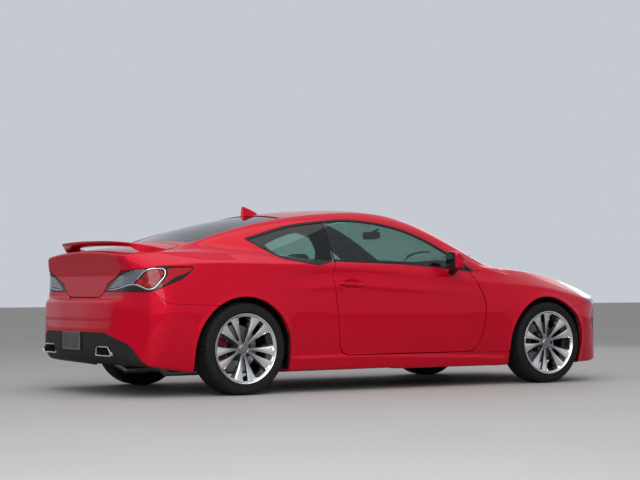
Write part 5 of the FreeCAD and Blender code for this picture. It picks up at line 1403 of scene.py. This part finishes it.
wing = {   # front and rear edges outwards from the middle
    "front": [(-2.075, 0, 1.086), (-2.062, 0.300, 1.083), (-2.015, 0.480, 1.075), (-1.955, 0.560, 1.066),
              (-1.870, 0.596, 1.050), (-1.790, 0.606, 1.034)],
    "rear": [(-2.218, 0, 1.112), (-2.205, 0.300, 1.108), (-2.158, 0.500, 1.099), (-2.085, 0.590, 1.086),
             (-1.975, 0.634, 1.066), (-1.835, 0.622, 1.040)],
    "rings": 34, "thick": 0.017, "crown": 0.007, "legStart": 0.47, "legEnd": 0.575, "footSink": 0.006,
}


def wingPart():
    w = wing
    front, rear = smoothPath(w["front"], w["rings"]), smoothPath(w["rear"], w["rings"])
    share = np.linspace(0, 1, 15)
    rings = []
    for f, r in zip(front, rear):
        line = r + (f - r) * share[:, None]
        deck = placeOnSkin(line * (1, 1, 0) + (0, 0, 1.4), (0, 0, -1), 0.8)[:, 2]
        body = np.sqrt(np.maximum(0, 1 - (2 * share - 1) ** 2))
        top = np.maximum(line[:, 2] + w["crown"] * body ** 2, deck + 0.003)
        leg = ramp(f[1], w["legStart"], w["legEnd"])
        under = line[:, 2] - (w["thick"] * body * (1.4 - 0.5 * share) + 0.002)
        bottom = np.minimum(under, under * (1 - leg) + (deck - w["footSink"]) * leg)
        upper = np.stack([line[:, 0], line[:, 1], top], 1)
        lower = np.stack([line[:, 0], line[:, 1], bottom], 1)
        rings.append(np.concatenate([upper, lower[::-1]]))
    rings = np.array(rings)
    far = rings[:0:-1] * flip
    return ringsPart(np.concatenate([far, rings]))


def gripPart(points, stand, half, thick, count=28):   # a door handle that stands off the skin
    points = np.array(points)
    share = np.linspace(0, 1, count)
    x = np.interp(share, [0, 1], points[:, 0])
    height = np.interp(share, [0, 1], points[:, 1])
    base = sidePoints(list(zip(x, height)))
    away = np.sqrt(np.maximum(0, 1 - (2 * share - 1) ** 4)) * (stand + 0.006) - 0.006
    fade = np.maximum(0.25, np.sqrt(np.maximum(0, 1 - (2 * share - 1) ** 6)))
    path = base + np.stack([0 * away, away, 0 * away], 1)
    path[:, 1] = np.maximum(path[:, 1], path[:, 1].mean() - 0.02)
    turn = fullTurn(20)
    ring = np.stack([thick * np.cos(turn), half * np.sin(turn)], 1)
    return sweptPart(path, ring[None] * fade[:, None, None], (0, 0, 1))


mirrorForm = {
    "outline": [(0.452, 0.906, 0.018), (0.548, 0.912, 0.030), (0.574, 0.968, 0.030), (0.500, 1.048, 0.034),
                (0.446, 1.052, 0.014)],
    "stations": [(0.868, 0.55), (0.870, 0.74), (0.876, 0.86), (0.890, 0.95), (0.915, 1.0), (0.950, 1.0),
                 (0.978, 0.95), (0.996, 0.85), (1.006, 0.70), (1.011, 0.50), (1.012, 0.30)],
    "centre": (0.500, 0.976), "baseTop": 0.922, "strip": (0.955, 0.972),
    "arm": [(0.535, 0.822, 0.880), (0.530, 0.852, 0.886), (0.522, 0.890, 0.905), (0.515, 0.925, 0.925)],
    "armSize": (0.034, 0.020), "glassX": (0.4465, 0.4520),
    "glass": [(0.890, 0.930, 0.012), (0.972, 0.932, 0.026), (0.974, 1.028, 0.026), (0.890, 1.036, 0.012)],
}


def mirrorHead():
    m = mirrorForm
    line = roundedOutline(m["outline"], 0.2)
    closed = np.vstack([line, line[:1]])
    lengths = np.concatenate([[0], np.cumsum(np.linalg.norm(np.diff(closed, axis=0), axis=1))])
    at = np.linspace(0, lengths[-1], 56, endpoint=False)
    even = np.stack([np.interp(at, lengths, closed[:, k]) for k in range(2)], 1)
    centre = np.array(m["centre"])
    ys, scales = np.array(m["stations"]).T
    along = np.linspace(0, 1, 26)
    y = np.interp(along, np.linspace(0, 1, len(ys)), ys)
    scale = np.interp(along, np.linspace(0, 1, len(ys)), scales)
    rings = []
    for yk, k in zip(y, scale):
        ring = centre + (even - centre) * k
        rings.append(np.stack([ring[:, 0] + 0.020 * (1 - k), np.full(len(ring), yk), ring[:, 1]], 1))
    return ringsPart(rings)


def mirrorArm():
    turn = fullTurn(20)
    wide, high = mirrorForm["armSize"]
    section = np.stack([wide * np.cos(turn), high * np.sin(turn)], 1)
    return sweptPart(smoothPath(mirrorForm["arm"], 10), section, (0, 0, 1))


def mirrorPane():
    line = roundedOutline(mirrorForm["glass"], 0.3)
    return ringsPart([np.stack([np.full(len(line), x), line[:, 0], line[:, 1]], 1)
                      for x in mirrorForm["glassX"]])


def paintFaces(thing, choose):   # material slots by where each face lies
    thing.data.polygons.foreach_set("material_index", choose(*faceData(thing.data)).astype(np.int32))


def mirrorSlots(centres, normals):
    m = mirrorForm
    chosen = np.zeros(len(centres), int)
    chosen[centres[:, 2] < m["baseTop"]] = 1
    strip = (centres[:, 2] > m["strip"][0]) & (centres[:, 2] < m["strip"][1]) & (centres[:, 0] > 0.52)
    chosen[strip] = 2
    chosen[(normals[:, 0] < -0.85) & (centres[:, 0] < 0.47)] = 1
    return chosen


finForm = {"front": [(-0.690, 1.330), (-0.740, 1.357), (-0.800, 1.384), (-0.852, 1.402)],
           "rear": [(-0.874, 1.310), (-0.874, 1.345), (-0.872, 1.380), (-0.866, 1.402)], "half": 0.021}


def finPart():
    front, rear = smoothPath(finForm["front"], 12), smoothPath(finForm["rear"], 12)
    turn = fullTurn(24)
    rings = []
    for k, (f, r) in enumerate(zip(front, rear)):
        wide = finForm["half"] * (1 - k / 11) ** 0.75 + 0.0015
        share = (1 + np.cos(turn)) / 2
        shape = np.sin(turn) * (0.35 + 0.65 * (1 - share)) * 1.2
        x = r[0] + (f[0] - r[0]) * share
        rings.append(np.stack([x, wide * shape, r[1] + (f[1] - r[1]) * share], 1))
    return ringsPart(rings)


solidPiece("wingBlade", [(0, wingPart())], "redPaint", "trunk_lid", ["rear_spoiler"],
           smoothAngle=50)
solidPiece("roofFin", [(0, finPart())], "redPaint", "body", ["antenna_fin"], smoothAngle=60)
grip = gripPart([(-0.556, 0.801), (-0.318, 0.786)], 0.021, 0.0125, 0.0070)
for side, turn in (("left", tuple), ("right", otherSide)):
    big = side.capitalize()
    body = "door_" + side
    solidPiece("handle" + big, [(0, turn(grip))], "redPaint", body, smoothAngle=60)
    head = solidPiece("mirrorHead" + big, [(0, turn(mirrorHead()))], ["redPaint", "glossBlack", "lensPale"],
                      body, ["door_mirror_" + side], smoothAngle=50)
    paintFaces(head, mirrorSlots)
    solidPiece("mirrorArm" + big, [(0, turn(mirrorArm()))], "glossBlack", body,
               smoothAngle=60)
    solidPiece("mirrorGlass" + big, [(0, turn(mirrorPane()))], "mirrorGlass", body,
               smoothAngle=30)

tipForm = {"x": -2.268, "depth": 0.075, "plug": 0.004, "bead": 0.0040}


def tipParts():   # a bead round the exhaust's end and a dark plug deep inside, painted shade down the pipe
    t = tipForm
    line = roundedOutline(outlines["tip"], 0.4)
    ring = np.stack([np.full(len(line), t["x"]), line[:, 0], line[:, 1]], 1)
    way = np.roll(ring, -1, 0) - np.roll(ring, 1, 0)
    way /= np.linalg.norm(way, axis=1, keepdims=True)
    out = np.cross(way, (1.0, 0, 0)) * t["bead"]
    back = np.array((-t["bead"], 0, 0))
    bead = np.stack([ring + out * math.cos(a) + back * math.sin(a)
                     for a in fullTurn(10)], 1)
    inner = ring + (t["depth"], 0, 0)
    return ringsPart(bead, False, wrapRings=True), ringsPart([inner, inner + (t["plug"], 0, 0)])


tipBead, tipShadePlug = tipParts()
solidPiece("tipRims", bothSides(tipBead), "polishedSteel", "body", smoothAngle=60)
# dark plugs deep in the tail pipes: painted shade
solidPiece("tipShadePlugs", bothSides(tipShadePlug), "sealRubber", "body", smoothAngle=30)
print("small outer pieces made")

seatForm = {   # outlines as x and z with a corner radius, then what the sewing adds
    "cushion": [(-0.395, 0.262, 0.040), (0.112, 0.280, 0.050), (0.116, 0.408, 0.050), (-0.325, 0.385, 0.050)],
    "back": [(-0.340, 0.385, 0.030), (-0.528, 0.868, 0.040), (-0.616, 0.882, 0.040), (-0.448, 0.262, 0.040)],
    "head": [(-0.526, 0.845, 0.025), (-0.582, 1.040, 0.035), (-0.655, 1.040, 0.035), (-0.605, 0.838, 0.025)],
    "low": 0.180, "high": 0.630, "headIn": 0.105, "bolster": 0.038, "bolsterAt": 0.150,
    "benchCushion": [(-0.950, 0.240, 0.030), (-0.712, 0.240, 0.030), (-0.712, 0.440, 0.050),
                     (-0.930, 0.425, 0.020)],
    "benchBack": [(-0.905, 0.430, 0.030), (-1.010, 0.905, 0.040), (-1.085, 0.935, 0.030),
                  (-0.960, 0.300, 0.030)],
    "benchHalf": 0.522, "benchSplit": 0.165, "voxel": 0.018, "pressure": 4.0, "frames": 20, "cap": 0.010,
    "seamDepth": 0.0055, "seamWide": 0.0060, "fill": 0.85,
}


def padRings(outline, low, high, rise=None, count=15):   # a pad across the car with rounded side edges
    line = roundedOutline(outline, 0.3)
    centre = line.mean(0)
    t = np.linspace(-1, 1, count)
    t = np.sin(t * math.pi / 2)
    rings = []
    for k in t:
        edge = 1 - 0.16 * abs(k) ** 8
        ring = centre + (line - centre) * edge
        y = (low + high) / 2 + k * (high - low) / 2
        rings.append(np.stack([ring[:, 0], np.full(len(ring), y), ring[:, 1]], 1))
    rings = np.array(rings)
    if rise is not None:
        rings = rise(rings)
    return ringsPart(rings)


def seatPiece(name, parts, seams, node):
    mesh = plainMesh(name, parts)
    mesh.materials.append(finishes["seatCloth"])
    faceOutwards(mesh)
    thing = linked(name, mesh)
    remesh = thing.modifiers.new("skin", "REMESH")
    remesh.mode = "VOXEL"
    remesh.voxel_size = seatForm["voxel"]
    remesh.use_smooth_shade = True
    applyModifiers(thing)
    swell(thing)
    sub = thing.modifiers.new("smooth", "SUBSURF")
    sub.levels = 1
    sub.render_levels = 1
    applyModifiers(thing)
    sew(thing, seams)
    if not thing.data.materials:
        thing.data.materials.append(finishes["seatCloth"])
    thing.data.shade_smooth()
    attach(thing, "body")
    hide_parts(node)


def pointsOf(mesh):
    points = np.empty(len(mesh.vertices) * 3)
    mesh.vertices.foreach_get("co", points)
    return points.reshape(-1, 3)


def swell(thing):   # the pad filled under pressure, with a limit to how far each point goes
    start = pointsOf(thing.data)
    cloth = thing.modifiers.new("fill", "CLOTH")
    cloth.settings.use_pressure = True
    cloth.settings.uniform_pressure_force = seatForm["pressure"]
    cloth.settings.effector_weights.gravity = 0.0
    cloth.collision_settings.use_collision = False
    for step in range(1, seatForm["frames"] + 1):
        scene.frame_set(step)
    graph = bpy.context.evaluated_depsgraph_get()
    made = bpy.data.meshes.new_from_object(thing.evaluated_get(graph))
    moved = pointsOf(made) - start
    length = np.maximum(np.linalg.norm(moved, axis=1, keepdims=True), 1e-9)
    placed = start + moved / length * np.minimum(length, seatForm["cap"])
    thing.modifiers.clear()
    thing.data.vertices.foreach_set("co", placed.ravel())
    bpy.data.meshes.remove(made)
    scene.frame_set(1)


def sew(thing, seams):   # stitched lines drawn into the cloth
    mesh = thing.data
    points = pointsOf(mesh)
    normals = np.empty(len(mesh.vertices) * 3)
    mesh.vertices.foreach_get("normal", normals)
    normals = normals.reshape(-1, 3)
    depth = np.zeros(len(points))
    for away, where in seams(points, normals):
        line = np.exp(-(away / seatForm["seamWide"]) ** 2)
        depth = np.maximum(depth, np.where(where, line, 0))
    mesh.vertices.foreach_set("co", (points - normals * depth[:, None] * seatForm["seamDepth"]).ravel())
    mesh.update()


def bolstered(front, way):   # the sides of the face that the sitter meets, raised
    middle = (seatForm["low"] + seatForm["high"]) / 2

    def change(rings):
        side = ramp(abs(rings[..., 1] - middle), seatForm["bolsterAt"] - 0.06, seatForm["bolsterAt"] + 0.03)
        return rings + front(rings)[..., None] * side[..., None] * seatForm["bolster"] * np.array(way)
    return change


def cushionFront(rings):
    return ramp(rings[..., 2], 0.33, 0.38)


def backFront(rings):
    line = -0.34 - (rings[..., 2] - 0.385) * 0.39
    return ramp(rings[..., 0], line - 0.05, line - 0.01)


def frontSeams(points, normals):
    x, y, z = points.T
    middle = (seatForm["low"] + seatForm["high"]) / 2
    across = abs(abs(y) - middle)
    cushionTop = (normals[:, 2] > 0.5) & (z < 0.50)
    backFace = (normals[:, 0] > 0.4) & (z > 0.46) & (z < 0.86)
    found = [(across - 0.108, cushionTop | backFace)]
    found += [(x - at, cushionTop & (across < 0.108)) for at in (-0.20, -0.10, 0.0)]
    found += [(z - at, backFace & (across < 0.108)) for at in (0.54, 0.62, 0.70, 0.78)]
    return found


def rearSeams(points, normals):
    x, y, z = points.T
    cushionTop = (normals[:, 2] > 0.5) & (z < 0.50)
    backFace = (normals[:, 0] > 0.4) & (z > 0.48)
    found = [(abs(y) - at, cushionTop | backFace) for at in (0.085, 0.42)]
    found += [(z - at, backFace & (abs(y) > 0.085) & (abs(y) < 0.42)) for at in (0.60, 0.74)]
    return found


pads = seatForm
low, high, half = pads["low"], pads["high"], pads["benchHalf"]
seatParts = [padRings(pads["cushion"], low, high, bolstered(cushionFront, (0.0, 0.0, 1.0))),
             padRings(pads["back"], low + 0.008, high - 0.008, bolstered(backFront, (0.9, 0.0, 0.3))),
             padRings(pads["head"], low + pads["headIn"], high - pads["headIn"])]
seatPiece("seatLeft", seatParts, frontSeams, "front_seats")
seatPiece("seatRight", [otherSide(part) for part in seatParts], frontSeams, "front_seats")
benchParts = [padRings(pads["benchCushion"], -half, -pads["benchSplit"]),
              padRings(pads["benchCushion"], pads["benchSplit"], half),
              padRings(pads["benchBack"], -half, half)]
seatPiece("rearBench", benchParts, rearSeams, "rear_seat")
print("seats made")

cabinForm = {
    "mirrorPlace": (0.352, 0.0, 1.196), "mirrorHalf": (0.014, 0.118, 0.032),
    "mirrorStem": [(0.352, 0.0, 1.215), (0.385, 0.0, 1.235), (0.420, 0.0, 1.247)], "stemRadius": 0.009,
}
wiperForm = {"pivotX": 1.020, "arms": [(0.52, -0.06, 0.905), (-0.08, -0.62, 0.880)], "bow": 0.035,
             "armHeight": 0.014, "armRadius": 0.006, "bladeBack": 0.022, "bladeHeight": 0.004,
             "bladeRadius": 0.0055}


def roundedBlock(centre, half, power=5.0, rings=16, around=32):   # a pillow shape with soft edges
    t = np.linspace(-math.pi / 2, math.pi / 2, rings)
    a = fullTurn(around)
    made = []
    for k in t[1:-1]:
        y = abs(math.sin(k)) ** (2 / power) * math.copysign(1, math.sin(k))
        r = abs(math.cos(k)) ** (2 / power)
        u = np.abs(np.cos(a)) ** (2 / power) * np.sign(np.cos(a)) * r
        v = np.abs(np.sin(a)) ** (2 / power) * np.sign(np.sin(a)) * r
        made.append(np.stack([centre[0] + half[0] * u, np.full(around, centre[1] + half[1] * y),
                              centre[2] + half[2] * v], 1))
    return ringsPart(made)


def tube(points, radius, sides=12, count=24, squash=1.0):
    path = smoothPath(points, count) if len(points) > 2 else np.linspace(points[0], points[1], count)
    a = fullTurn(sides)
    ring = np.stack([radius * np.cos(a), radius * squash * np.sin(a)], 1)
    way = path[-1] - path[0]
    up = (0, 0, 1) if abs(way[2]) < 0.9 * np.linalg.norm(way) else (1, 0, 0)
    return sweptPart(path, ring, up)


mirrorParts = [roundedBlock(cabinForm["mirrorPlace"], cabinForm["mirrorHalf"]),
               tube(cabinForm["mirrorStem"], cabinForm["stemRadius"])]
solidPiece("insideMirror", [(0, part) for part in mirrorParts], "satinBlack", "body",
           smoothAngle=50)


def setDown(x, y):   # points dropped onto the skin from above
    return placeOnSkin(np.stack([x, y, np.full(len(x), 1.4)], 1), (0, 0, -1), 0.8)


def wiperParts():   # an arm and a blade for each of pivot y, tip y and tip x
    w = wiperForm
    share = np.linspace(0, 1, 9)
    made = []
    for pivotY, tipY, tipX in w["arms"]:
        x = np.interp(share, [0, 1], [w["pivotX"], tipX]) - w["bow"] * np.sin(np.linspace(0, math.pi, 9))
        arm = setDown(x, np.interp(share, [0, 1], [pivotY, tipY]))
        arm[:, 2] += w["armHeight"]
        made.append(tube(arm, w["armRadius"], squash=0.8))
        blade = arm[3:].copy()
        blade[:, 0] -= w["bladeBack"]
        blade[:, 2] = setDown(blade[:, 0], blade[:, 1])[:, 2] + w["bladeHeight"]
        made.append(tube(blade, w["bladeRadius"]))
    return made


solidPiece("wipers", [(0, part) for part in wiperParts()], "satinBlack", "body",
           smoothAngle=60)

wheels = {
    "front": {"x": 1.465, "y": 0.795, "radius": 0.326, "width": 0.232, "turn": 32.0},
    "rear": {"x": -1.355, "y": 0.799, "radius": 0.333, "width": 0.246, "turn": -18.0},
}
wheelForm = {"pairs": 5, "hub": 0.064, "rootOffset": 0.0135, "tipOffset": 0.0560, "rootHalf": 0.0080,
             "tipHalf": 0.0345, "ringInner": 0.233, "faceOuter": 0.2375, "hubFace": 0.077, "tipSet": 0.008,
             "sideDepth": 0.030, "fillet": 0.009, "facet": 0.011, "facetEdge": 0.15,
             "nutCircle": 0.05715, "nutHole": 0.0125, "capRadius": 0.031, "beadInset": 0.013, "lipOut": 0.008}


def rimEdge(w):
    return w["width"] / 2 - wheelForm["beadInset"] + wheelForm["lipOut"]


def wheelFacePart(w, side):   # the spoked face, bright in front and dark at its sides
    f = wheelForm
    edge = rimEdge(w)
    radii = np.concatenate([np.linspace(0.0, 0.08, 26), np.linspace(0.084, f["faceOuter"], 36)])
    turns = np.radians(np.linspace(0, 360, 265))
    r, a = np.meshgrid(radii, turns, indexing="ij")
    best = f["hub"] - r
    facet = np.zeros_like(r)
    for k in range(f["pairs"]):
        angle = math.radians(w["turn"] + 360 / f["pairs"] * k)
        along, across = r * np.cos(a - angle), r * np.sin(a - angle)
        share = np.clip((r - 0.06) / (f["ringInner"] - 0.06), 0, 1)
        offset = f["rootOffset"] + (f["tipOffset"] - f["rootOffset"]) * share
        half = f["rootHalf"] + (f["tipHalf"] - f["rootHalf"]) * share ** 1.75
        for s in (-1, 1):
            blade = np.where(along > 0, half - abs(across - s * offset), -0.05)
            outwards = s * (across - s * offset) / half
            slope = np.maximum(0, outwards + f["facetEdge"]) * share ** 1.3 * f["facet"]
            facet = np.where((blade > -0.002) & (share > 0), np.maximum(facet, slope), facet)
            best = smoothMax(best, blade, f["fillet"] * (0.35 + 0.65 * (1 - share)))
    best = smoothMax(best, r - f["ringInner"], 0.010)
    rise = np.clip((r - 0.05) / (f["faceOuter"] - 0.05), 0, 1)
    height = f["hubFace"] + (edge - f["tipSet"] - f["hubFace"]) * rise ** 1.25
    crown = 0.0035 * (1 - np.clip(best / 0.016, 0, 1)) ** 2
    height = height - crown - facet * (1 - ramp(r, f["ringInner"] - 0.004, f["ringInner"] + 0.003))
    for k in range(f["pairs"]):
        angle = math.radians(w["turn"] + 360 / f["pairs"] * (k + 0.5))
        away = np.hypot(r * np.cos(a) - f["nutCircle"] * math.cos(angle),
                        r * np.sin(a) - f["nutCircle"] * math.sin(angle))
        height = height - 0.016 * (1 - ramp(away, f["nutHole"] - 0.002, f["nutHole"] + 0.002))
    height = height + 0.006 * (1 - ramp(r, f["capRadius"] - 0.003, f["capRadius"] + 0.001))
    height = height - 0.004 * (1 - ramp(abs(r - f["capRadius"] - 0.004), 0.001, 0.003))
    points = np.stack([w["x"] + r * np.cos(a), w["y"] + height, w["radius"] + r * np.sin(a)], -1)
    across1 = np.gradient(points, axis=0)
    across2 = np.gradient(points, axis=1)
    normals = np.cross(across1, across2)
    normals[0] = (0, 1, 0)
    normals /= np.maximum(np.linalg.norm(normals, axis=-1, keepdims=True), 1e-12)
    normals *= np.sign(normals[..., 1:2])
    part = tidyFaces(*cutGrid(points, normals, best))
    bright = len(part[2])
    part = withHem(part, [(0.0008, 0.0006, 0.6), (0.0015, 0.002, 1.2), (0.0015, f["sideDepth"], math.pi / 2)])
    slots = np.ones(len(part[2]), int)
    slots[:bright] = 0
    ringFaces = (len(part[2]) - bright) // 3
    slots[bright:bright + ringFaces] = 0
    return (mirrorPart(part) if side < 0 else part), slots


def rimPart(w, side):
    edge = rimEdge(w)
    profile = [(0.2530, edge - 0.010), (0.2535, edge - 0.002), (0.2520, edge), (0.2490, edge + 0.0004),
               (0.2450, edge - 0.003), (0.2415, edge - 0.008), (0.2385, edge - 0.011), (0.2345, edge - 0.016),
               (0.2335, edge - 0.055), (0.2280, edge - 0.075), (0.2240, -edge + 0.060),
               (0.2300, -edge + 0.030),
               (0.2380, -edge + 0.012), (0.2500, -edge + 0.001), (0.2530, -edge), (0.2530, -edge + 0.008),
               (0.2440, -edge + 0.012), (0.2410, -edge + 0.030), (0.2410, edge - 0.020),
               (0.2500, edge - 0.012)]
    return revolve(profile, (w["x"], side * w["y"], w["radius"]), side, 120)


tread = {"grooveDepth": 0.007, "blocks": 72, "notchDepth": 0.0055, "grooves": (-0.058, -0.020, 0.020, 0.058),
         "grooveHalf": 0.0045}


def tyrePart(w, side):
    t = tread
    half = w["width"] / 2
    top = w["radius"]
    flat = half - 0.034
    wall = [(0.2415, half - 0.016), (0.2520, half - 0.0145), (0.2560, half - 0.0135), (0.2600, half - 0.0080),
            (0.2625, half - 0.0030), (0.2665, half - 0.0008), (0.2700, half - 0.0030),
            (0.2740, half - 0.0018),
            (0.2860, half - 0.0008), (0.2980, half - 0.0014), (top - 0.0240, half - 0.0045),
            (top - 0.0225, half - 0.0066), (top - 0.0150, half - 0.0090), (top - 0.0085, half - 0.0150),
            (top - 0.0040, half - 0.0230), (top - 0.0014, flat + 0.002)]
    scale = flat / 0.082
    across = [(top - 0.0008, flat - 0.006)]
    for middle in reversed(t["grooves"]):
        m = middle * scale
        g = t["grooveHalf"]
        across += [(top, m + g + 0.001), (top - t["grooveDepth"], m + g * 0.7),
                   (top - t["grooveDepth"], m - g * 0.7), (top, m - g - 0.001)]
    across.append((top - 0.0008, -flat + 0.006))
    profile = wall + across + [(r, -out) for r, out in reversed(wall)]
    profile += [(0.2400, -half + 0.03), (0.2400, half - 0.03)]
    count = t["blocks"] * 4

    def notches(k, points):
        shoulder = (abs(points[:, 1]) > t["grooves"][-1] * scale + 0.012) & (points[:, 0] > top - 0.016)
        slanted = (k + (points[:, 1] > 0) * 2) % 4 == 0
        return np.where(shoulder & slanted, -t["notchDepth"], 0.0)

    return revolve(profile, (w["x"], side * w["y"], w["radius"]), side, count, notches)


def nutTree():   # hexagon nuts with a cone end, set on a circle about the axle
    group = bpy.data.node_groups.new("wheelNuts", "GeometryNodeTree")
    group.interface.new_socket("Geometry", in_out="OUTPUT", socket_type="NodeSocketGeometry")
    for label, kind in (("Count", "Int"), ("Circle Radius", "Float"), ("Nut Radius", "Float"),
                        ("Nut Height", "Float"), ("Nut Sides", "Int"), ("Finish", "Material")):
        group.interface.new_socket(label, in_out="INPUT", socket_type="NodeSocket" + kind)
    tree = Tree(group)
    given = tree.node("NodeGroupInput")
    circle = tree.node("GeometryNodeMeshCircle", None,
                       {"Vertices": given.out("Count"), "Radius": given.out("Circle Radius")})
    nut = tree.node("GeometryNodeMeshCone", {"fill_type": "NGON"}, {
        "Vertices": given.out("Nut Sides"), "Radius Bottom": given.out("Nut Radius"),
        "Radius Top": given.out("Nut Radius") * 0.82, "Depth": given.out("Nut Height")})
    placed = tree.node("GeometryNodeInstanceOnPoints", None, {"Points": circle, "Instance": nut})
    real = tree.node("GeometryNodeRealizeInstances", None, {0: placed})
    made = tree.node("GeometryNodeSetMaterial", None, {"Geometry": real, "Material": given.out("Finish")})
    tree.node("NodeGroupOutput", None, {0: made})
    return group


nutNodes = nutTree()
nutShapes = {   # how many stand in the ring, then radius, height, sides and finish of each
    # the nut wells are thin black discs at the floor of each nut hole, painted shade
    "wheelNuts": (5, 0.0085, 0.012, 6, "darkAlloy"), "nutWellShades": (5, 0.0135, 0.0016, 20, "satinBlack"),
    # the drilled holes of the brake discs are dark dots, painted shade
    "discHoleShades": (24, 0.0034, 0.0008, 10, "darkAlloy"),
}
discForm = {"face": 0.013, "inwards": 0.050, "circles": (0.104, 0.126, 0.148), "twist": 0.08}


def ringOfNuts(shape, tag, w, side, outwards, circle, turn, body):
    count, radius, height, sides, finish = nutShapes[shape]
    thing = linked(shape + tag, bpy.data.meshes.new(shape + tag))
    maker = thing.modifiers.new("nuts", "NODES")
    maker.node_group = nutNodes
    sockets = {s.name: s.identifier for s in nutNodes.interface.items_tree if s.in_out == "INPUT"}
    for key, value in {"Count": count, "Circle Radius": circle, "Nut Radius": radius, "Nut Height": height,
                       "Nut Sides": sides, "Finish": finishes[finish]}.items():
        maker[sockets[key]] = value
    applyModifiers(thing)
    points = pointsOf(thing.data)
    c, s = math.cos(turn), math.sin(turn)
    u, v = points[:, 0] * c - points[:, 1] * s, points[:, 0] * s + points[:, 1] * c
    placed = np.stack([w["x"] + u, side * outwards + side * points[:, 2], w["radius"] + v], 1)
    thing.data.vertices.foreach_set("co", placed.ravel())
    if side > 0:
        thing.data.flip_normals()
    thing.data.update()
    thing.data.shade_flat()
    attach(thing, body)


for place, w in wheels.items():
    for sideName, side in (("left", 1), ("right", -1)):
        node = "_" + place + "_" + sideName
        body = "wheel" + node
        tag = place.capitalize() + sideName.capitalize()
        face, slots = wheelFacePart(w, side)
        addPiece("wheelFace" + tag, face, ["machinedAlloy", "darkAlloy"], body, slots=slots)
        solidPiece("wheelRim" + tag, [(0, rimPart(w, side))], "machinedAlloy", body,
                   ["wheel_rim" + node], smoothAngle=35)
        solidPiece("tyre" + tag, [(0, tyrePart(w, side))], "tyreRubber", body,
                   ["tyre" + node], smoothAngle=30)
        # the black discs in the nut wells are painted shade
        for shape in ("wheelNuts", "nutWellShades"):
            ringOfNuts(shape, tag, w, side, w["y"] + wheelForm["hubFace"] - 0.008, wheelForm["nutCircle"],
                       math.radians(w["turn"] + 36.0), body)
        # drilled holes in the brake discs drawn as dark dots: painted shade
        for row, circle in enumerate(discForm["circles"]):
            ringOfNuts("discHoleShades", tag + str(row), w, side, w["y"] - discForm["inwards"] + discForm["face"],
                       circle, discForm["twist"] * row, body)
print("wheels made")

# Nodes that keep their solid and only take a finish
keptFinishes = {
    "grainedPlastic": ("wheel_liners", "dashboard", "steering_wheel", "cowl_panel"),
    "underSteel": ("struts", "front_subframe", "rear_subframe", "engine_block"),
    "uprightCast": ("rear_knuckles", "front_knuckle_left", "front_knuckle_right"),
    "floorCarpet": ("floor_pan",), "exhaustSteel": ("exhaust",), "plateWhite": ("number_plate",),
    "brakeIron": ("brake_disc_front_left", "brake_disc_front_right", "brake_disc_rear_left",
                  "brake_disc_rear_right"),
}
for finish, kept in keptFinishes.items():
    for thing in (nodes[name] for name in kept):
        if not thing.material_slots:
            thing.data.materials.append(finishes[finish])
        for holder in thing.material_slots:
            holder.material = finishes[finish]


def photoCamera():
    data = bpy.data.cameras.new("photoCamera")
    data.lens = view["lens"]
    data.sensor_width = view["sensor"]
    data.clip_start = 0.1
    data.clip_end = 200.0
    camera = linked("photoCamera", data)
    ahead, right, top = viewAxes()
    turn = np.array((right, top, -ahead)).T
    camera.matrix_world = Matrix.Translation(view["place"]) @ Matrix(turn.tolist()).to_4x4()
    scene.camera = camera


lamps = {
    "overhead": {"place": (-1.0, -1.5, 6.0), "size": 7.0, "power": 170.0},
    "side": {"place": (-5.0, -7.0, 4.0), "size": 5.0, "power": 300.0},
    "front": {"place": (7.0, 5.0, 4.0), "size": 4.0, "power": 60.0},
}


floorReach = 60.0
skyForm = {"lowest": 0.26, "highest": 0.62, "shown": (0.56, 0.59, 0.64, 1)}


def studio():
    floorMesh = bpy.data.meshes.new("floor")
    corners = [(x * floorReach, y * floorReach, 0) for x, y in ((-1, -1), (1, -1), (1, 1), (-1, 1))]
    floorMesh.from_pydata(corners, [], [[0, 1, 2, 3]])
    f = Finish("floorPale", {"Roughness": 0.7, "Specular IOR Level": 0.2})
    f.set({"Base Color": f.mix(f.noise(0.8, 3.0), "floor", "floorLight")})
    floorMesh.materials.append(f.material)
    floor = linked("floor", floorMesh)
    world = bpy.data.worlds.new("studio")
    world.use_nodes = True
    scene.world = world
    sky = Tree(world.node_tree)
    around = sky.node("ShaderNodeTexCoord", output="Generated")
    height = sky.node("ShaderNodeSeparateXYZ", None, {0: around}, "Z")
    strength = sky.node("ShaderNodeMapRange", None, {
        "Value": height, "From Min": 0.0, "From Max": 1.0, "To Min": skyForm["lowest"],
        "To Max": skyForm["highest"]})
    dome = sky.node("ShaderNodeBackground", None, {"Color": (1.0, 1.0, 1.0, 1), "Strength": strength})
    shown = sky.node("ShaderNodeBackground", None, {"Color": skyForm["shown"]})
    seen = sky.node("ShaderNodeLightPath", output="Is Camera Ray")
    for kind in ("Is Glossy Ray", "Is Transmission Ray"):
        seen = seen.sum("MAXIMUM", sky.node("ShaderNodeLightPath", output=kind))
    mixed = sky.node("ShaderNodeMixShader", None, {0: seen, 1: dome, 2: shown})
    sky.node("ShaderNodeOutputWorld", None, {"Surface": mixed})
    for name, lamp in lamps.items():
        light = bpy.data.lights.new(name, "AREA")
        light.size = lamp["size"]
        light.energy = lamp["power"]
        thing = linked(name, light)
        thing.location = lamp["place"]
        aim = Vector((0, 0, 0.5)) - Vector(lamp["place"])
        thing.rotation_euler = aim.to_track_quat("-Z", "Y").to_euler()


photoCamera()
studio()
scene.view_settings.view_transform = "Standard"
for thing in list(bpy.data.objects):
    if thing.name in ("Cube", "Light", "Camera"):
        bpy.data.objects.remove(thing)
